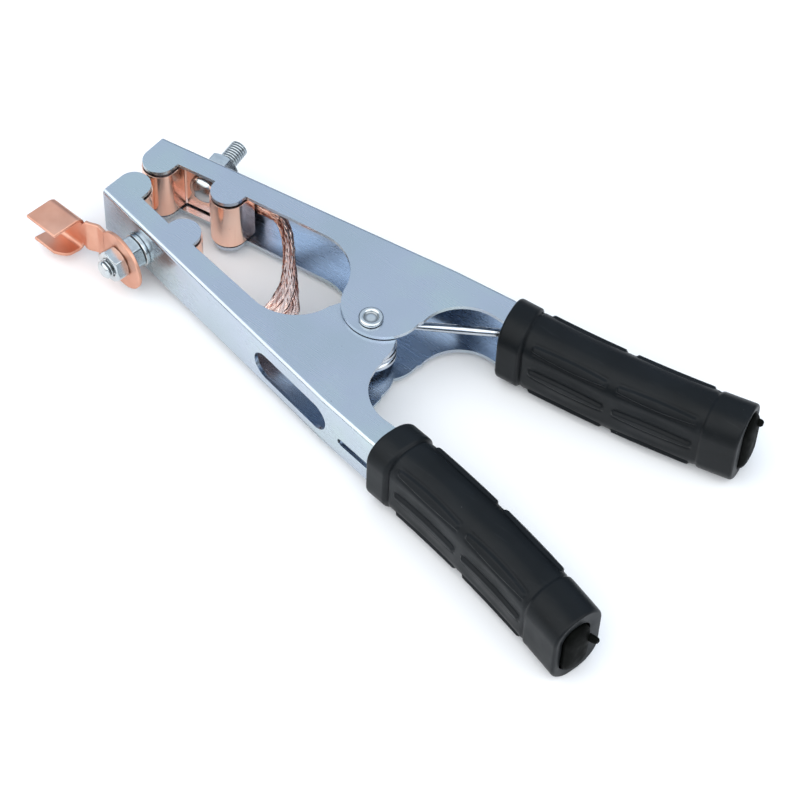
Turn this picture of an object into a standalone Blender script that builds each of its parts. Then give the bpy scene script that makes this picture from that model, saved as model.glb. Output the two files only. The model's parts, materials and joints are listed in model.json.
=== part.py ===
"""Ground clamp: two nested sheet-steel levers on a rivet, closed by a torsion spring.

Plan view: the jaws point to -X, the handles to +X, the inner arm is on -Y, the outer arm on +Y.
Every piece hangs on one of two empties that stand on the hinge axis, so plan coordinates below
are measured from that axis, and z = 0 is the middle of the clamp's thickness.
"""

from math import atan, atan2, cos, degrees, hypot, pi, radians, sin, sqrt

import bmesh
import bpy
from mathutils import Matrix, Vector

MM = 0.001
GAP = 0.3 * MM

# Hinge axis, measured from the middle of the underside of the whole clamp.
PIVOT = Vector((-1.80, 0.67, 13.40)) * MM

# Sheet steel arms.
SHEET = 1.3 * MM
OUTER_HEIGHT = 22.0 * MM
INNER_HEIGHT = OUTER_HEIGHT - 2 * (SHEET + GAP)
FOLD_RADIUS = 1.4 * MM
TIP_X = -96.4 * MM
TIP_Y = 14.0 * MM
WEB_SLOPE = 0.172
WEB_ANGLE = atan(WEB_SLOPE)
WEB_BEND_X = 8.0 * MM
HANDLE_START_X = 27.0 * MM
HANDLE_END_X = 97.0 * MM
HANDLE_START_Y = 29.7 * MM
HANDLE_SLOPE = 0.085
HANDLE_CURVE = 1.2
HANDLE_HALF_WIDTH = 4.7 * MM

# Jaw lobes, as centre and radius in plan.
FRONT_LOBE = (-90.8 * MM, 5.9 * MM, 5.4 * MM)
REAR_LOBE = (-66.2 * MM, 10.4 * MM, 5.6 * MM)
NOTCH_DEPTH_Y = 8.3 * MM
THROAT = (-29.5 * MM, 0.0, 16.4 * MM)
THROAT_LINE_START_Y = 12.1 * MM
HINGE_LOBE = (-1.0 * MM, 7.0 * MM, 12.8 * MM)
CROTCH = (27.0 * MM, 10.5 * MM, 14.7 * MM)

# Openings in the arms.
SLOT_CENTRE_X = -6.6 * MM
SLOT_CENTRE_Z = -0.8 * MM
SLOT_LENGTH = 33.0 * MM
SLOT_WIDTH = 10.4 * MM
SLIT_START_X = 15.0 * MM
SLIT_LENGTH = 24.0 * MM
SLIT_WIDTH = 2.6 * MM
SLIT_Z = -2.8 * MM

# Hinge.
RIVET_RADIUS = 3.0 * MM
RIVET_RECESS_RADIUS = 2.1 * MM
RIVET_RECESS_DEPTH = 1.0 * MM
RIVET_HEAD_RADIUS = 3.8 * MM
RIVET_HEAD_HEIGHT = 1.3 * MM
BUSH_RADIUS = 4.9 * MM
WIRE_RADIUS = 1.4 * MM
COIL_RADIUS = 7.0 * MM
COIL_PITCH = 3.1 * MM
COIL_LOW_Z = -6.0 * MM
COIL_TURNS = 2.2
LEG_END_X = 34.0 * MM

# Copper jaw pads.
PAD_SHEET = 1.2 * MM
PAD_CLEARANCE = 0.8 * MM
PAD_PROUD = 0.35 * MM
PAD_BEND = 1.4 * MM

# Terminal bolts, one through each web between the two lobes.
BOLT_X = -78.7 * MM
BOLT_Z = 2.0 * MM
BOLT_RADIUS = 3.0 * MM
BOLT_HEAD_RADIUS = 5.0 * MM
BOLT_HEAD_HEIGHT = 3.0 * MM
OUTER_BOLT_REACH = 15.6 * MM
INNER_BOLT_REACH = 14.4 * MM
NUT_FLATS = 10.0 * MM
NUT_HEIGHT = 4.6 * MM
LUG_NUT_HEIGHT = 4.0 * MM
WASHER_RADIUS = 5.7 * MM
WASHER_SHEET = 1.1 * MM

# Braid and its two eyelets.
STRAP_SHEET = 1.8 * MM
STRAP_WIDTH = 11.0 * MM
EYELET_LENGTH = 15.0 * MM

# Cable lug.
LUG_SHEET = 1.2 * MM
LUG_EYE_RADIUS = 10.0 * MM
LUG_NECK_WIDTH = 12.4 * MM
LUG_NECK_ANGLE = radians(38)
LUG_STEP_START = 10.6 * MM
LUG_STEP_END = 15.0 * MM
LUG_STEP = 2.0 * MM
BARREL_NEAR = 16.6 * MM
BARREL_LENGTH = 12.4 * MM
BARREL_RISE = 1.6 * MM
BARREL_WIDTH = 13.0 * MM
BARREL_DROP = 0.7 * MM
BARREL_BEND = 2.2 * MM
WING_LENGTH = 8.6 * MM
WING_FLARE = radians(-5)

# Grips.
INNER_GRIP = (31.8 * MM, 98.6 * MM, 112.2 * MM)
OUTER_GRIP = (30.0 * MM, 96.4 * MM, 107.4 * MM)
GRIP_HALF_WIDTH = 8.2 * MM
GRIP_HALF_HEIGHT = 12.9 * MM
GRIP_CORNER = 7.2 * MM
GRIP_INWARD = 0.9 * MM
GRIP_SLOPE = 0.20
PLUG_DOME = 2.0 * MM


def clear_scene():
    for obj in list(bpy.data.objects):
        bpy.data.objects.remove(obj, do_unlink=True)


def make_material(name, colour, roughness, metallic):
    material = bpy.data.materials.new(name)
    material.use_nodes = True
    shader = material.node_tree.nodes["Principled BSDF"]
    shader.inputs["Base Color"].default_value = (*colour, 1)
    shader.inputs["Roughness"].default_value = roughness
    shader.inputs["Metallic"].default_value = metallic
    return material


def hinge_empty(name):
    empty = bpy.data.objects.new(name, None)
    empty.location = PIVOT
    bpy.context.scene.collection.objects.link(empty)
    return empty


def finish(name, bm, material=None, parent=None, sharp_degrees=32):
    """Turns a bmesh into a named object with outward faces."""
    bmesh.ops.remove_doubles(bm, verts=bm.verts, dist=1e-7)
    bmesh.ops.recalc_face_normals(bm, faces=bm.faces)
    mesh = bpy.data.meshes.new(name)
    bm.to_mesh(mesh)
    bm.free()
    mesh.shade_smooth()
    mesh.set_sharp_from_angle(angle=radians(sharp_degrees))
    obj = bpy.data.objects.new(name, mesh)
    bpy.context.scene.collection.objects.link(obj)
    if material:
        mesh.materials.append(material)
    obj.parent = parent
    return obj


def boolean(obj, operation, *others):
    """Applies each other object to obj, as helpers that don't render."""
    for other in others:
        modifier = obj.modifiers.new(f"{operation}_{other.name}", "BOOLEAN")
        modifier.operation = operation
        modifier.solver = "EXACT"
        modifier.object = other
        other.parent = obj.parent
        other.hide_render = True
        other.display_type = "WIRE"


def arc(centre, radius, start, end, steps):
    """Points on an arc, both ends included, with the angles in degrees."""
    turns = [radians(start + (end - start) * i / steps) for i in range(steps + 1)]
    return [(centre[0] + radius * cos(t), centre[1] + radius * sin(t)) for t in turns]


def extrude_outline(bm, outline, low, high):
    """A prism along z over a plan outline. Returns its top and bottom edge rings."""
    bottom = [bm.verts.new((x, y, low)) for x, y in outline]
    top = [bm.verts.new((x, y, high)) for x, y in outline]
    bm.faces.new(bottom[::-1])
    bm.faces.new(top)
    for i in range(len(outline)):
        j = (i + 1) % len(outline)
        bm.faces.new((bottom[i], bottom[j], top[j], top[i]))
    return bottom, top


def prism(name, outline, low, high, **look):
    bm = bmesh.new()
    extrude_outline(bm, outline, low, high)
    return finish(name, bm, **look)


def loft(bm, rings):
    """Skins a list of equal rings of points and closes both ends."""
    loops = [[bm.verts.new(point) for point in ring] for ring in rings]
    for near, far in zip(loops, loops[1:]):
        for i in range(len(near)):
            j = (i + 1) % len(near)
            bm.faces.new((near[i], near[j], far[j], far[i]))
    bm.faces.new(loops[0][::-1])
    bm.faces.new(loops[-1])


def turned(name, profile, steps=28, **look):
    """A solid of revolution about z. The profile is a closed loop of (radius, z) clear of the axis."""
    bm = bmesh.new()
    loops = []
    for i in range(steps):
        t = 2 * pi * i / steps
        loops.append([bm.verts.new((r * cos(t), r * sin(t), z)) for r, z in profile])
    for i in range(steps):
        near, far = loops[i], loops[(i + 1) % steps]
        for j in range(len(profile)):
            k = (j + 1) % len(profile)
            bm.faces.new((near[j], near[k], far[k], far[j]))
    return finish(name, bm, **look)


def cylinder(name, radius, low, high, steps=28, **look):
    return prism(name, arc((0, 0), radius, 0, 360 - 360 / steps, steps - 1), low, high, **look)


def mirror_plan(outline, side):
    """The outline for the +Y arm, turned over for the -Y arm."""
    return [(x, side * y) for x, y in outline]


def web_y(x, inset=0.0):
    """Distance of the web's outer face from the hinge line, less an inset square to the web."""
    return TIP_Y + WEB_SLOPE * (x - TIP_X) - inset / cos(WEB_ANGLE)


def handle_y(x):
    """Middle of the handle channel, which bows outwards."""
    run = x - HANDLE_START_X
    return HANDLE_START_Y + HANDLE_SLOPE * run + HANDLE_CURVE * run * run


def handle_edge(offset, start=HANDLE_START_X, end=HANDLE_END_X, steps=8):
    """Points of a line that keeps a distance from the handle's middle."""
    points = []
    for i in range(steps + 1):
        x = start + (end - start) * i / steps
        points.append((x, handle_y(x) + offset))
    return points


def place_on_web(obj, side, empty):
    """Stands an object's +z square to the web, pointing out of the clamp, at the bolt hole."""
    outward = Vector((-sin(WEB_ANGLE), side * cos(WEB_ANGLE), 0))
    along = Vector((-cos(WEB_ANGLE), -side * sin(WEB_ANGLE), 0))
    up = outward.cross(along)
    turn = Matrix((along, up, outward)).transposed()
    foot = Vector((BOLT_X, side * web_y(BOLT_X), side * BOLT_Z))
    obj.parent = empty
    obj.matrix_local = Matrix.Translation(foot) @ turn.to_4x4()
    return obj


def arm_outline():
    """Plan of the +Y arm's flange, from the tip round the jaw and the hinge to the handle and back."""
    front_x, front_y, front_r = FRONT_LOBE
    rear_x, rear_y, rear_r = REAR_LOBE
    points = [(TIP_X, TIP_Y)]
    points += arc((front_x, front_y), front_r, 180, 360, 12)
    points.append((front_x + front_r, NOTCH_DEPTH_Y))
    points.append((rear_x - rear_r, NOTCH_DEPTH_Y + WEB_SLOPE * (rear_x - rear_r - front_x - front_r)))
    points += arc((rear_x, rear_y), rear_r, 180, 360, 12)
    points.append((rear_x + rear_r, THROAT_LINE_START_Y))
    points += arc(THROAT[:2], THROAT[2], 99, 11, 10)
    points += arc(HINGE_LOBE[:2], HINGE_LOBE[2], 200, 366, 14)
    points += arc(CROTCH[:2], CROTCH[2], 184, 92, 8)
    points += handle_edge(-HANDLE_HALF_WIDTH, start=30 * MM)
    points += handle_edge(HANDLE_HALF_WIDTH)[::-1]
    points.append((WEB_BEND_X, web_y(WEB_BEND_X)))
    return points


def channel_hollow_outline():
    """Plan of the space inside the folded channel, run well past the flanges' free edges."""
    clear = 60 * MM
    points = [(TIP_X - clear, web_y(TIP_X - clear, SHEET)), (TIP_X - clear, -clear)]
    points += [(HANDLE_END_X + clear, -clear), (HANDLE_END_X + clear, handle_y(HANDLE_END_X + clear))]
    far_edge = handle_edge(HANDLE_HALF_WIDTH - SHEET, end=HANDLE_END_X + clear / 4, steps=10)
    points += far_edge[::-1]
    points.append((WEB_BEND_X, web_y(WEB_BEND_X, SHEET)))
    return points


def round_fold(bm, rings, count):
    """Rounds the two long folds. The fold is the outline's last count points and its first."""
    for ring in rings:
        chain = ring[-count:] + [ring[0]]
        edges = [bm.edges.get(pair) for pair in zip(chain, chain[1:])]
        bmesh.ops.bevel(bm, geom=edges, offset=FOLD_RADIUS, segments=3, profile=0.5, affect="EDGES")


def make_arm(name, side, height, material, empty):
    """One lever: a plan outline extruded, folded edges rounded, hollowed into a channel, then pierced."""
    outline = mirror_plan(arm_outline(), side)
    bm = bmesh.new()
    rings = extrude_outline(bm, outline, -height / 2, height / 2)
    round_fold(bm, rings, len(handle_edge(0)) + 1)
    arm = finish(name, bm, material, empty)
    inside = height / 2 - SHEET
    hollow = prism(f"{name}_hollow", mirror_plan(channel_hollow_outline(), side), -inside, inside)
    axle_hole = cylinder(f"{name}_axle_hole", RIVET_RADIUS + GAP, -height, height)
    boolean(arm, "DIFFERENCE", hollow, axle_hole, web_slot(name, side), web_slit(name, side))
    bolt_hole = cylinder(f"{name}_bolt_hole", BOLT_RADIUS + GAP, -3 * SHEET, SHEET)
    boolean(arm, "DIFFERENCE", bolt_hole)
    place_on_web(bolt_hole, side, empty)
    return arm


def capsule(length, width, steps=8):
    """An obround outline about the origin, long along x."""
    radius, reach = width / 2, (length - width) / 2
    return arc((reach, 0), radius, -90, 90, steps) + arc((-reach, 0), radius, 90, 270, steps)


def stand_capsule(name, length, width, low, high, middle, angle):
    """A capsule cutter whose flat sides face along y, turned with the web."""
    obj = prism(name, capsule(length, width), low, high)
    obj.data.transform(Matrix.Rotation(angle, 4, "Z") @ Matrix.Rotation(pi / 2, 4, "X"))
    obj.data.transform(Matrix.Translation(middle))
    return obj


def web_slot(name, side):
    """The long lightening slot in the web beside the hinge."""
    middle = (SLOT_CENTRE_X, side * web_y(SLOT_CENTRE_X), -side * SLOT_CENTRE_Z)
    reach = 4 * SHEET
    return stand_capsule(f"{name}_slot", SLOT_LENGTH, SLOT_WIDTH, -reach, reach, middle, side * WEB_ANGLE)


def web_slit(name, side):
    """The narrow slit in the web that runs in under the grip."""
    x = SLIT_START_X + SLIT_LENGTH / 2
    slope = (handle_y(x + 10 * MM) - handle_y(x - 10 * MM)) / (20 * MM)
    middle = (x, side * (handle_y(x) + HANDLE_HALF_WIDTH), -side * SLIT_Z)
    reach = 4 * SHEET
    return stand_capsule(f"{name}_slit", SLIT_LENGTH, SLIT_WIDTH, -reach, reach, middle, side * atan(slope))


def thicken(path, thickness):
    """The closed outline of a strip that follows a path of plan points."""
    left, right = [], []
    for i, (x, y) in enumerate(path):
        before = path[max(i - 1, 0)]
        after = path[min(i + 1, len(path) - 1)]
        first = Vector((x - before[0], y - before[1]))
        second = Vector((after[0] - x, after[1] - y))
        first = (first if first.length > 0 else second).normalized()
        second = (second if second.length > 0 else first).normalized()
        normal = Vector((-(first.y + second.y), first.x + second.x)).normalized()
        reach = thickness / 2 / max(normal.dot(Vector((-first.y, first.x))), 0.5)
        left.append((x + normal.x * reach, y + normal.y * reach))
        right.append((x - normal.x * reach, y - normal.y * reach))
    return left + right[::-1]


def pad_path():
    """Middle line of the copper strip: over the front lobe, along the web, over the rear lobe."""
    inset = SHEET + GAP + STRAP_SHEET + GAP + PAD_SHEET / 2
    front_x, front_y, front_r = FRONT_LOBE
    rear_x, rear_y, rear_r = REAR_LOBE
    front_reach = front_r + PAD_PROUD - PAD_SHEET / 2
    rear_reach = rear_r + PAD_PROUD - PAD_SHEET / 2
    near, far = front_x + front_reach, rear_x - rear_reach
    path = [(front_x - front_reach, web_y(TIP_X, SHEET + GAP + 0.8 * MM))]
    path += arc((front_x, front_y), front_reach, 180, 360, 14)
    path += arc((near + PAD_BEND, web_y(near + PAD_BEND, inset) - PAD_BEND), PAD_BEND, 180, 95, 3)
    path += arc((far - PAD_BEND, web_y(far - PAD_BEND, inset) - PAD_BEND), PAD_BEND, 95, 0, 3)
    path += arc((rear_x, rear_y), rear_reach, 180, 360, 14)
    end_x = rear_x + rear_reach
    path.append((end_x, web_y(end_x, SHEET + GAP + STRAP_SHEET + 3 * GAP)))
    return path


def make_pad(name, side, height, material, empty):
    half = height / 2 - SHEET - PAD_CLEARANCE
    outline = mirror_plan(thicken(pad_path(), PAD_SHEET), side)
    pad = prism(name, outline, -half, half, material=material, parent=empty)
    hole = cylinder(f"{name}_hole", BOLT_RADIUS + GAP, -10 * SHEET, SHEET)
    boolean(pad, "DIFFERENCE", hole)
    place_on_web(hole, side, empty)
    return pad


def make_bolt(name, side, reach, material, empty):
    """A round-headed terminal bolt: the head is inside the channel, on the pad."""
    seat = -(SHEET + GAP + STRAP_SHEET + GAP + PAD_SHEET + GAP)
    chamfer = 0.6 * MM
    turns = [radians(t) for t in (0, 25, 50, 72)]
    dome = [(BOLT_HEAD_RADIUS * cos(t), seat - BOLT_HEAD_HEIGHT * sin(t)) for t in turns]
    rings = [(r, z) for r, z in dome[::-1]] + [(BOLT_RADIUS, seat), (BOLT_RADIUS, reach - chamfer)]
    rings.append((BOLT_RADIUS - chamfer, reach))
    bm = bmesh.new()
    loft(bm, [[(r * cos(2 * pi * i / 24), r * sin(2 * pi * i / 24), z) for i in range(24)] for r, z in rings])
    return place_on_web(finish(name, bm, material), side, empty)


def make_nut(name, side, low, height, material, empty, turn):
    """A hexagon nut with chamfered corners, bored clear of the thread."""
    corner = NUT_FLATS / sqrt(3)
    hexagon = arc((0, 0), corner, turn, turn + 300, 5)
    nut = prism(name, hexagon, low, low + height, material=material)
    chamfer = 0.9 * MM
    cone = [(BOLT_RADIUS + GAP, low - MM), (corner - chamfer / 2, low - MM), (corner + MM, low + chamfer)]
    cone += [(corner + MM, low + height - chamfer), (corner - chamfer / 2, low + height + MM)]
    cone.append((BOLT_RADIUS + GAP, low + height + MM))
    shaper = turned(f"{name}_shaper", cone)
    boolean(nut, "INTERSECT", shaper)
    place_on_web(shaper, side, empty)
    return place_on_web(nut, side, empty)


def make_washer(name, side, low, material, empty):
    inner = BOLT_RADIUS + GAP
    high = low + WASHER_SHEET
    profile = [(inner, low), (WASHER_RADIUS, low), (WASHER_RADIUS, high), (inner, high)]
    return place_on_web(turned(name, profile, material=material), side, empty)


def make_eyelet(name, side, material, empty):
    """The flat pressed end of the braid, clamped between the web and the pad."""
    low = -(SHEET + GAP + STRAP_SHEET)
    half = STRAP_WIDTH / 2
    outline = arc((0, 0), half, -90, 90, 12)
    outline += [(half - EYELET_LENGTH, half), (half - EYELET_LENGTH, -half)]
    eyelet = prism(name, outline, low, low + STRAP_SHEET, material=material)
    hole = cylinder(f"{name}_hole", BOLT_RADIUS + GAP, low - MM, MM)
    boolean(eyelet, "DIFFERENCE", hole)
    place_on_web(hole, side, empty)
    return place_on_web(eyelet, side, empty)


def catmull(points, steps):
    """A smooth curve of steps points per span through a list of tuples of any length."""
    padded = [points[0]] + list(points) + [points[-1]]
    curve = []
    for a, b, c, d in zip(padded, padded[1:], padded[2:], padded[3:]):
        for i in range(steps):
            t = i / steps
            curve.append(tuple(
                q + 0.5 * t * (r - p + t * (2 * p - 5 * q + 4 * r - s + t * (3 * q - p - 3 * r + s)))
                for p, q, r, s in zip(a, b, c, d)
            ))
    curve.append(points[-1])
    return curve


def strap_stations():
    """Route of the braid: x, y, z, width and thickness in mm, and the tilt of its width in degrees."""
    eyelet_run = EYELET_LENGTH - STRAP_WIDTH / 2 + GAP
    inset = SHEET + GAP + STRAP_SHEET / 2
    start_x = (BOLT_X + eyelet_run * cos(WEB_ANGLE) + inset * sin(WEB_ANGLE)) / MM
    start_y = web_y(start_x * MM, inset) / MM
    high = BOLT_Z / MM
    return [
        (start_x, start_y, high, 10.6, 1.8, 0),
        (-64.0, web_y(-64 * MM, inset) / MM, 2.2, 8.0, 1.8, 0),
        (-58.0, web_y(-58 * MM, inset) / MM - 0.4, 2.6, 5.4, 2.0, 0),
        (-52.0, 17.6, 3.0, 3.9, 3.3, 20),
        (-47.4, 15.4, 3.0, 3.7, 3.5, 40),
        (-42.8, 11.6, 2.8, 3.7, 3.5, 55),
        (-38.0, 6.6, 2.5, 4.0, 3.3, 70),
        (-33.4, 1.2, 2.2, 5.2, 2.9, 82),
        (-29.6, -4.4, 1.9, 7.8, 2.4, 88),
        (-27.2, -9.6, 1.5, 10.8, 1.9, 88),
        (-27.6, -15.6, 0.9, 11.2, 1.8, 66),
        (-32.4, -20.2, 0.0, 11.0, 1.8, 28),
        (-41.0, -web_y(-41 * MM, inset) / MM + 0.4, -1.2, 11.0, 1.8, 4),
        (-52.0, -web_y(-52 * MM, inset) / MM, -high, 11.0, 1.8, 0),
        (start_x, -start_y, -high, 10.6, 1.8, 0),
    ]


def make_braid(material, empty):
    """The flexible copper strap that joins the two jaws: one flat body that twists along its route."""
    stations = catmull(strap_stations(), 4)
    rings = []
    for i, (x, y, z, width, thickness, tilt) in enumerate(stations):
        before, after = stations[max(i - 1, 0)], stations[min(i + 1, len(stations) - 1)]
        along = Vector((after[0] - before[0], after[1] - before[1], 0)).normalized()
        across = Vector((-along.y, along.x, 0))
        turn = radians(tilt)
        wide = Vector((0, 0, cos(turn))) + sin(turn) * across
        thin = -sin(turn) * Vector((0, 0, 1)) + cos(turn) * across
        centre = Vector((x, y, z))
        ring = []
        for j in range(8):
            t = 2 * pi * (j + 0.5) / 8
            u = max(-1, min(1, 1.25 * cos(t)))
            v = max(-1, min(1, 1.25 * sin(t)))
            ring.append((centre + u * width / 2 * wide + v * thickness / 2 * thin) * MM)
        rings.append(ring)
    bm = bmesh.new()
    loft(bm, rings)
    return finish("braid", bm, material, empty)


def lug_rows():
    """Mid-surface of the lug as rows of points across it, from the eye's edge to the barrel's far end."""
    floor = BARREL_WIDTH / 2 - BARREL_BEND
    bends = [(floor + BARREL_BEND * sin(t), BARREL_BEND * (1 - cos(t))) for t in (0.5, 1.0, pi / 2)]
    top = BARREL_BEND + WING_LENGTH
    half_u = [(floor, 0)] + bends + [(bends[-1][0] + WING_LENGTH * sin(WING_FLARE), top)]
    u_shape = [(BARREL_DROP - y, z) for y, z in half_u[::-1]] + [(BARREL_DROP + y, z) for y, z in half_u]
    middle = LUG_SHEET / 2
    neck = [(LUG_EYE_RADIUS * cos(LUG_NECK_ANGLE), LUG_EYE_RADIUS * sin(LUG_NECK_ANGLE), middle)]
    neck.append((LUG_STEP_START, LUG_NECK_WIDTH / 2, middle))
    neck.append((LUG_STEP_END, LUG_NECK_WIDTH / 2, middle + LUG_STEP))
    rows = [[(x, -half, z), (x, half, z)] for x, half, z in neck]
    for x, rise in ((BARREL_NEAR, 0), (BARREL_NEAR + BARREL_LENGTH, BARREL_RISE)):
        rows.append([(x, y, middle + LUG_STEP + rise + z) for y, z in u_shape])
    return rows


def make_lug(material, empty, seat):
    """Cable lug: a flat eye, a stepped neck and an open barrel, all of one sheet, in the bolt's own frame.

    Local x runs from the eye towards the barrel and local z out of the clamp.
    """
    bm = bmesh.new()
    rows = [[bm.verts.new((x, y, z + seat)) for x, y, z in row] for row in lug_rows()]
    turns = degrees(LUG_NECK_ANGLE)
    rim = arc((0, 0), LUG_EYE_RADIUS, turns, 360 - turns, 22)[1:-1]
    disc = [bm.verts.new((x, y, seat + LUG_SHEET / 2)) for x, y in rim]
    bm.faces.new([rows[0][1]] + disc + [rows[0][0]])
    for near, far in zip(rows, rows[1:]):
        skip = (len(far) - len(near)) // 2
        inner = far[skip:len(far) - skip]
        for i in range(len(near) - 1):
            bm.faces.new((near[i], inner[i], inner[i + 1], near[i + 1]))
    lug = finish("cable_lug", bm, material)
    solidify = lug.modifiers.new("sheet", "SOLIDIFY")
    solidify.thickness = LUG_SHEET
    solidify.offset = 0
    solidify.use_even_offset = True
    hole = cylinder("lug_hole", BOLT_RADIUS + GAP, seat - MM, seat + LUG_SHEET + MM)
    boolean(lug, "DIFFERENCE", hole)
    place_on_web(hole, -1, empty)
    return place_on_web(lug, -1, empty)


def make_rivet(material, empty):
    """Rivet with a rolled rim round a shallow recess at each end."""
    top = OUTER_HEIGHT / 2 + GAP
    rim = top + RIVET_HEAD_HEIGHT
    head, recess = RIVET_HEAD_RADIUS, RIVET_RECESS_RADIUS
    upper = [(RIVET_RADIUS, top), (head - 0.2 * MM, top), (head, top + 0.4 * MM)]
    upper += [(head - 0.4 * MM, rim - 0.3 * MM), (head - 0.8 * MM, rim)]
    upper += [(recess + 0.3 * MM, rim), (recess, rim - 0.3 * MM)]
    upper.append((recess - 0.2 * MM, rim - RIVET_RECESS_DEPTH))
    lower = [(r, -z) for r, z in upper[::-1]]
    steps = 32
    turns = [2 * pi * i / steps for i in range(steps)]
    bm = bmesh.new()
    loft(bm, [[(r * cos(t), r * sin(t), z) for t in turns] for r, z in lower + upper])
    return finish("pivot_rivet", bm, material, empty)


def make_bush(material, empty):
    """Spacer tube that keeps the inner arm's flanges apart and carries the coil."""
    inner = RIVET_RADIUS + GAP
    reach = INNER_HEIGHT / 2 - SHEET - GAP
    profile = [(inner, -reach), (BUSH_RADIUS, -reach), (BUSH_RADIUS, reach), (inner, reach)]
    return turned("pivot_bush", profile, steps=28, material=material, parent=empty)


def spring_leg(side, z, tangent):
    """Points of one straight leg, from the coil to where it bears on the web inside the grip."""
    end_y = handle_y(LEG_END_X) + HANDLE_HALF_WIDTH - SHEET - GAP - WIRE_RADIUS
    end = Vector((LEG_END_X, side * end_y, z))
    start = Vector((tangent[0], tangent[1], z))
    return [tuple(start.lerp(end, t)) for t in (0.12, 0.5, 1.0)]


def tangent_angle(side):
    """Angle on the coil where a straight line to the leg's end leaves it without a kink."""
    end_y = handle_y(LEG_END_X) + HANDLE_HALF_WIDTH - SHEET - GAP - WIRE_RADIUS
    bearing = atan2(side * end_y, LEG_END_X)
    return bearing + side * (pi / 2 - atan2(COIL_RADIUS, hypot(LEG_END_X, end_y)))


def make_spring(material, empty):
    """Torsion spring: the low leg lies in the inner arm, the high leg in the outer arm."""
    start = tangent_angle(-1)
    end = tangent_angle(1)
    sweep = 2 * pi * COIL_TURNS
    sweep = -(2 * pi * round(sweep / (2 * pi)) + (start - end) % (2 * pi))
    turns = int(abs(sweep) / radians(20))
    coil = []
    for i in range(turns + 1):
        t = i / turns
        angle = start + sweep * t
        z = COIL_LOW_Z + COIL_PITCH * abs(sweep) / (2 * pi) * t
        coil.append((COIL_RADIUS * cos(angle), COIL_RADIUS * sin(angle), z))
    path = spring_leg(-1, coil[0][2], coil[0])[::-1] + coil + spring_leg(1, coil[-1][2], coil[-1])
    curve = bpy.data.curves.new("torsion_spring", "CURVE")
    curve.dimensions = "3D"
    curve.bevel_depth = WIRE_RADIUS
    curve.bevel_resolution = 3
    curve.use_fill_caps = True
    spline = curve.splines.new("POLY")
    spline.points.add(len(path) - 1)
    for point, place in zip(spline.points, path):
        point.co = (*place, 1)
    curve.materials.append(material)
    obj = bpy.data.objects.new("torsion_spring", curve)
    bpy.context.scene.collection.objects.link(obj)
    obj.parent = empty
    return obj


def rounded_section(half_width, half_height, corner, steps=5):
    """A rectangle with round corners, as (across, up) points."""
    corner = min(corner, 0.94 * half_width)
    points = []
    for quarter, (sx, sy) in enumerate(((1, 1), (-1, 1), (-1, -1), (1, -1))):
        centre = (sx * (half_width - corner), sy * (half_height - corner))
        points += arc(centre, corner, 90 * quarter, 90 * quarter + 90, steps)
    return points


def handle_ring(x, side, section, slope=None, shift=0.0):
    """A section stood square to the handle at x, or to a given slope, and moved towards the other handle."""
    if slope is None:
        slope = HANDLE_SLOPE + 2 * HANDLE_CURVE * (x - HANDLE_START_X)
    along = Vector((1, side * slope, 0)).normalized()
    across = Vector((-along.y, along.x, 0))
    centre = Vector((x, side * handle_y(x), 0)) - side * shift * across
    return [centre + across * u + Vector((0, 0, v)) for u, v in section]


def grip_rings(span):
    """Positions along a grip and how far its surface stands out there: two collars and a waisted body."""
    front, collar, end = span
    front_collar = ((0, 0.1), (0.6, 0.8), (7.4, 1.0), (8.4, 0.2), (9.8, 0.2))
    rings = [(front + step * MM, growth) for step, growth in front_collar]
    body = front + 14 * MM
    for share, growth in ((0, 0.2), (0.3, 0.1), (0.7, 0.1), (0.98, 0.0)):
        rings.append((body + (collar - body) * share, growth))
    rings += [(collar + 0.8 * MM, 0.4), (end - 1.4 * MM, 0.5), (end, -0.2)]
    return rings


def grip_bore(name, side, height, span):
    """Cutter for the passage through a grip: square round the channel, oval round the plug."""
    width, reach = HANDLE_HALF_WIDTH + GAP, height / 2 + GAP
    square = rounded_section(width, reach, 0.3 * MM)
    oval = rounded_section(width, reach, width)
    front, _, end = span
    last = HANDLE_END_X + 1.4 * MM
    xs = [front - 2 * MM + (last - front + 2 * MM) * i / 8 for i in range(9)]
    bm = bmesh.new()
    rings = [handle_ring(x, side, square) for x in xs]
    rings += [handle_ring(x, side, oval) for x in (last + 1.2 * MM, end + 2 * MM)]
    loft(bm, rings)
    return finish(f"{name}_bore", bm)


def make_grip(name, side, height, span, material, empty):
    rings = []
    for x, growth in grip_rings(span):
        grow = growth * MM
        section = rounded_section(GRIP_HALF_WIDTH + grow, GRIP_HALF_HEIGHT + grow / 2, GRIP_CORNER)
        rings.append(handle_ring(x, side, section, GRIP_SLOPE, GRIP_INWARD))
    bm = bmesh.new()
    loft(bm, rings)
    grip = finish(name, bm, material, empty)
    boolean(grip, "DIFFERENCE", grip_bore(name, side, height, span))
    return grip


def make_plug(name, side, height, span, material, empty):
    """The domed plug that closes the open end of a grip, behind the end of the steel channel."""
    end = span[2]
    rings = [(HANDLE_END_X + 3.6 * MM, 1.0), (end, 1.0)]
    rings += [(end + PLUG_DOME * sin(t), cos(t) ** 0.6) for t in (0.5, 0.95, 1.3)]
    bm = bmesh.new()
    sections = []
    for x, scale in rings:
        section = rounded_section(HANDLE_HALF_WIDTH * scale, height / 2 * scale, HANDLE_HALF_WIDTH * scale)
        sections.append(handle_ring(x, side, section, GRIP_SLOPE))
    loft(bm, sections)
    return finish(name, bm, material, empty)


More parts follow.
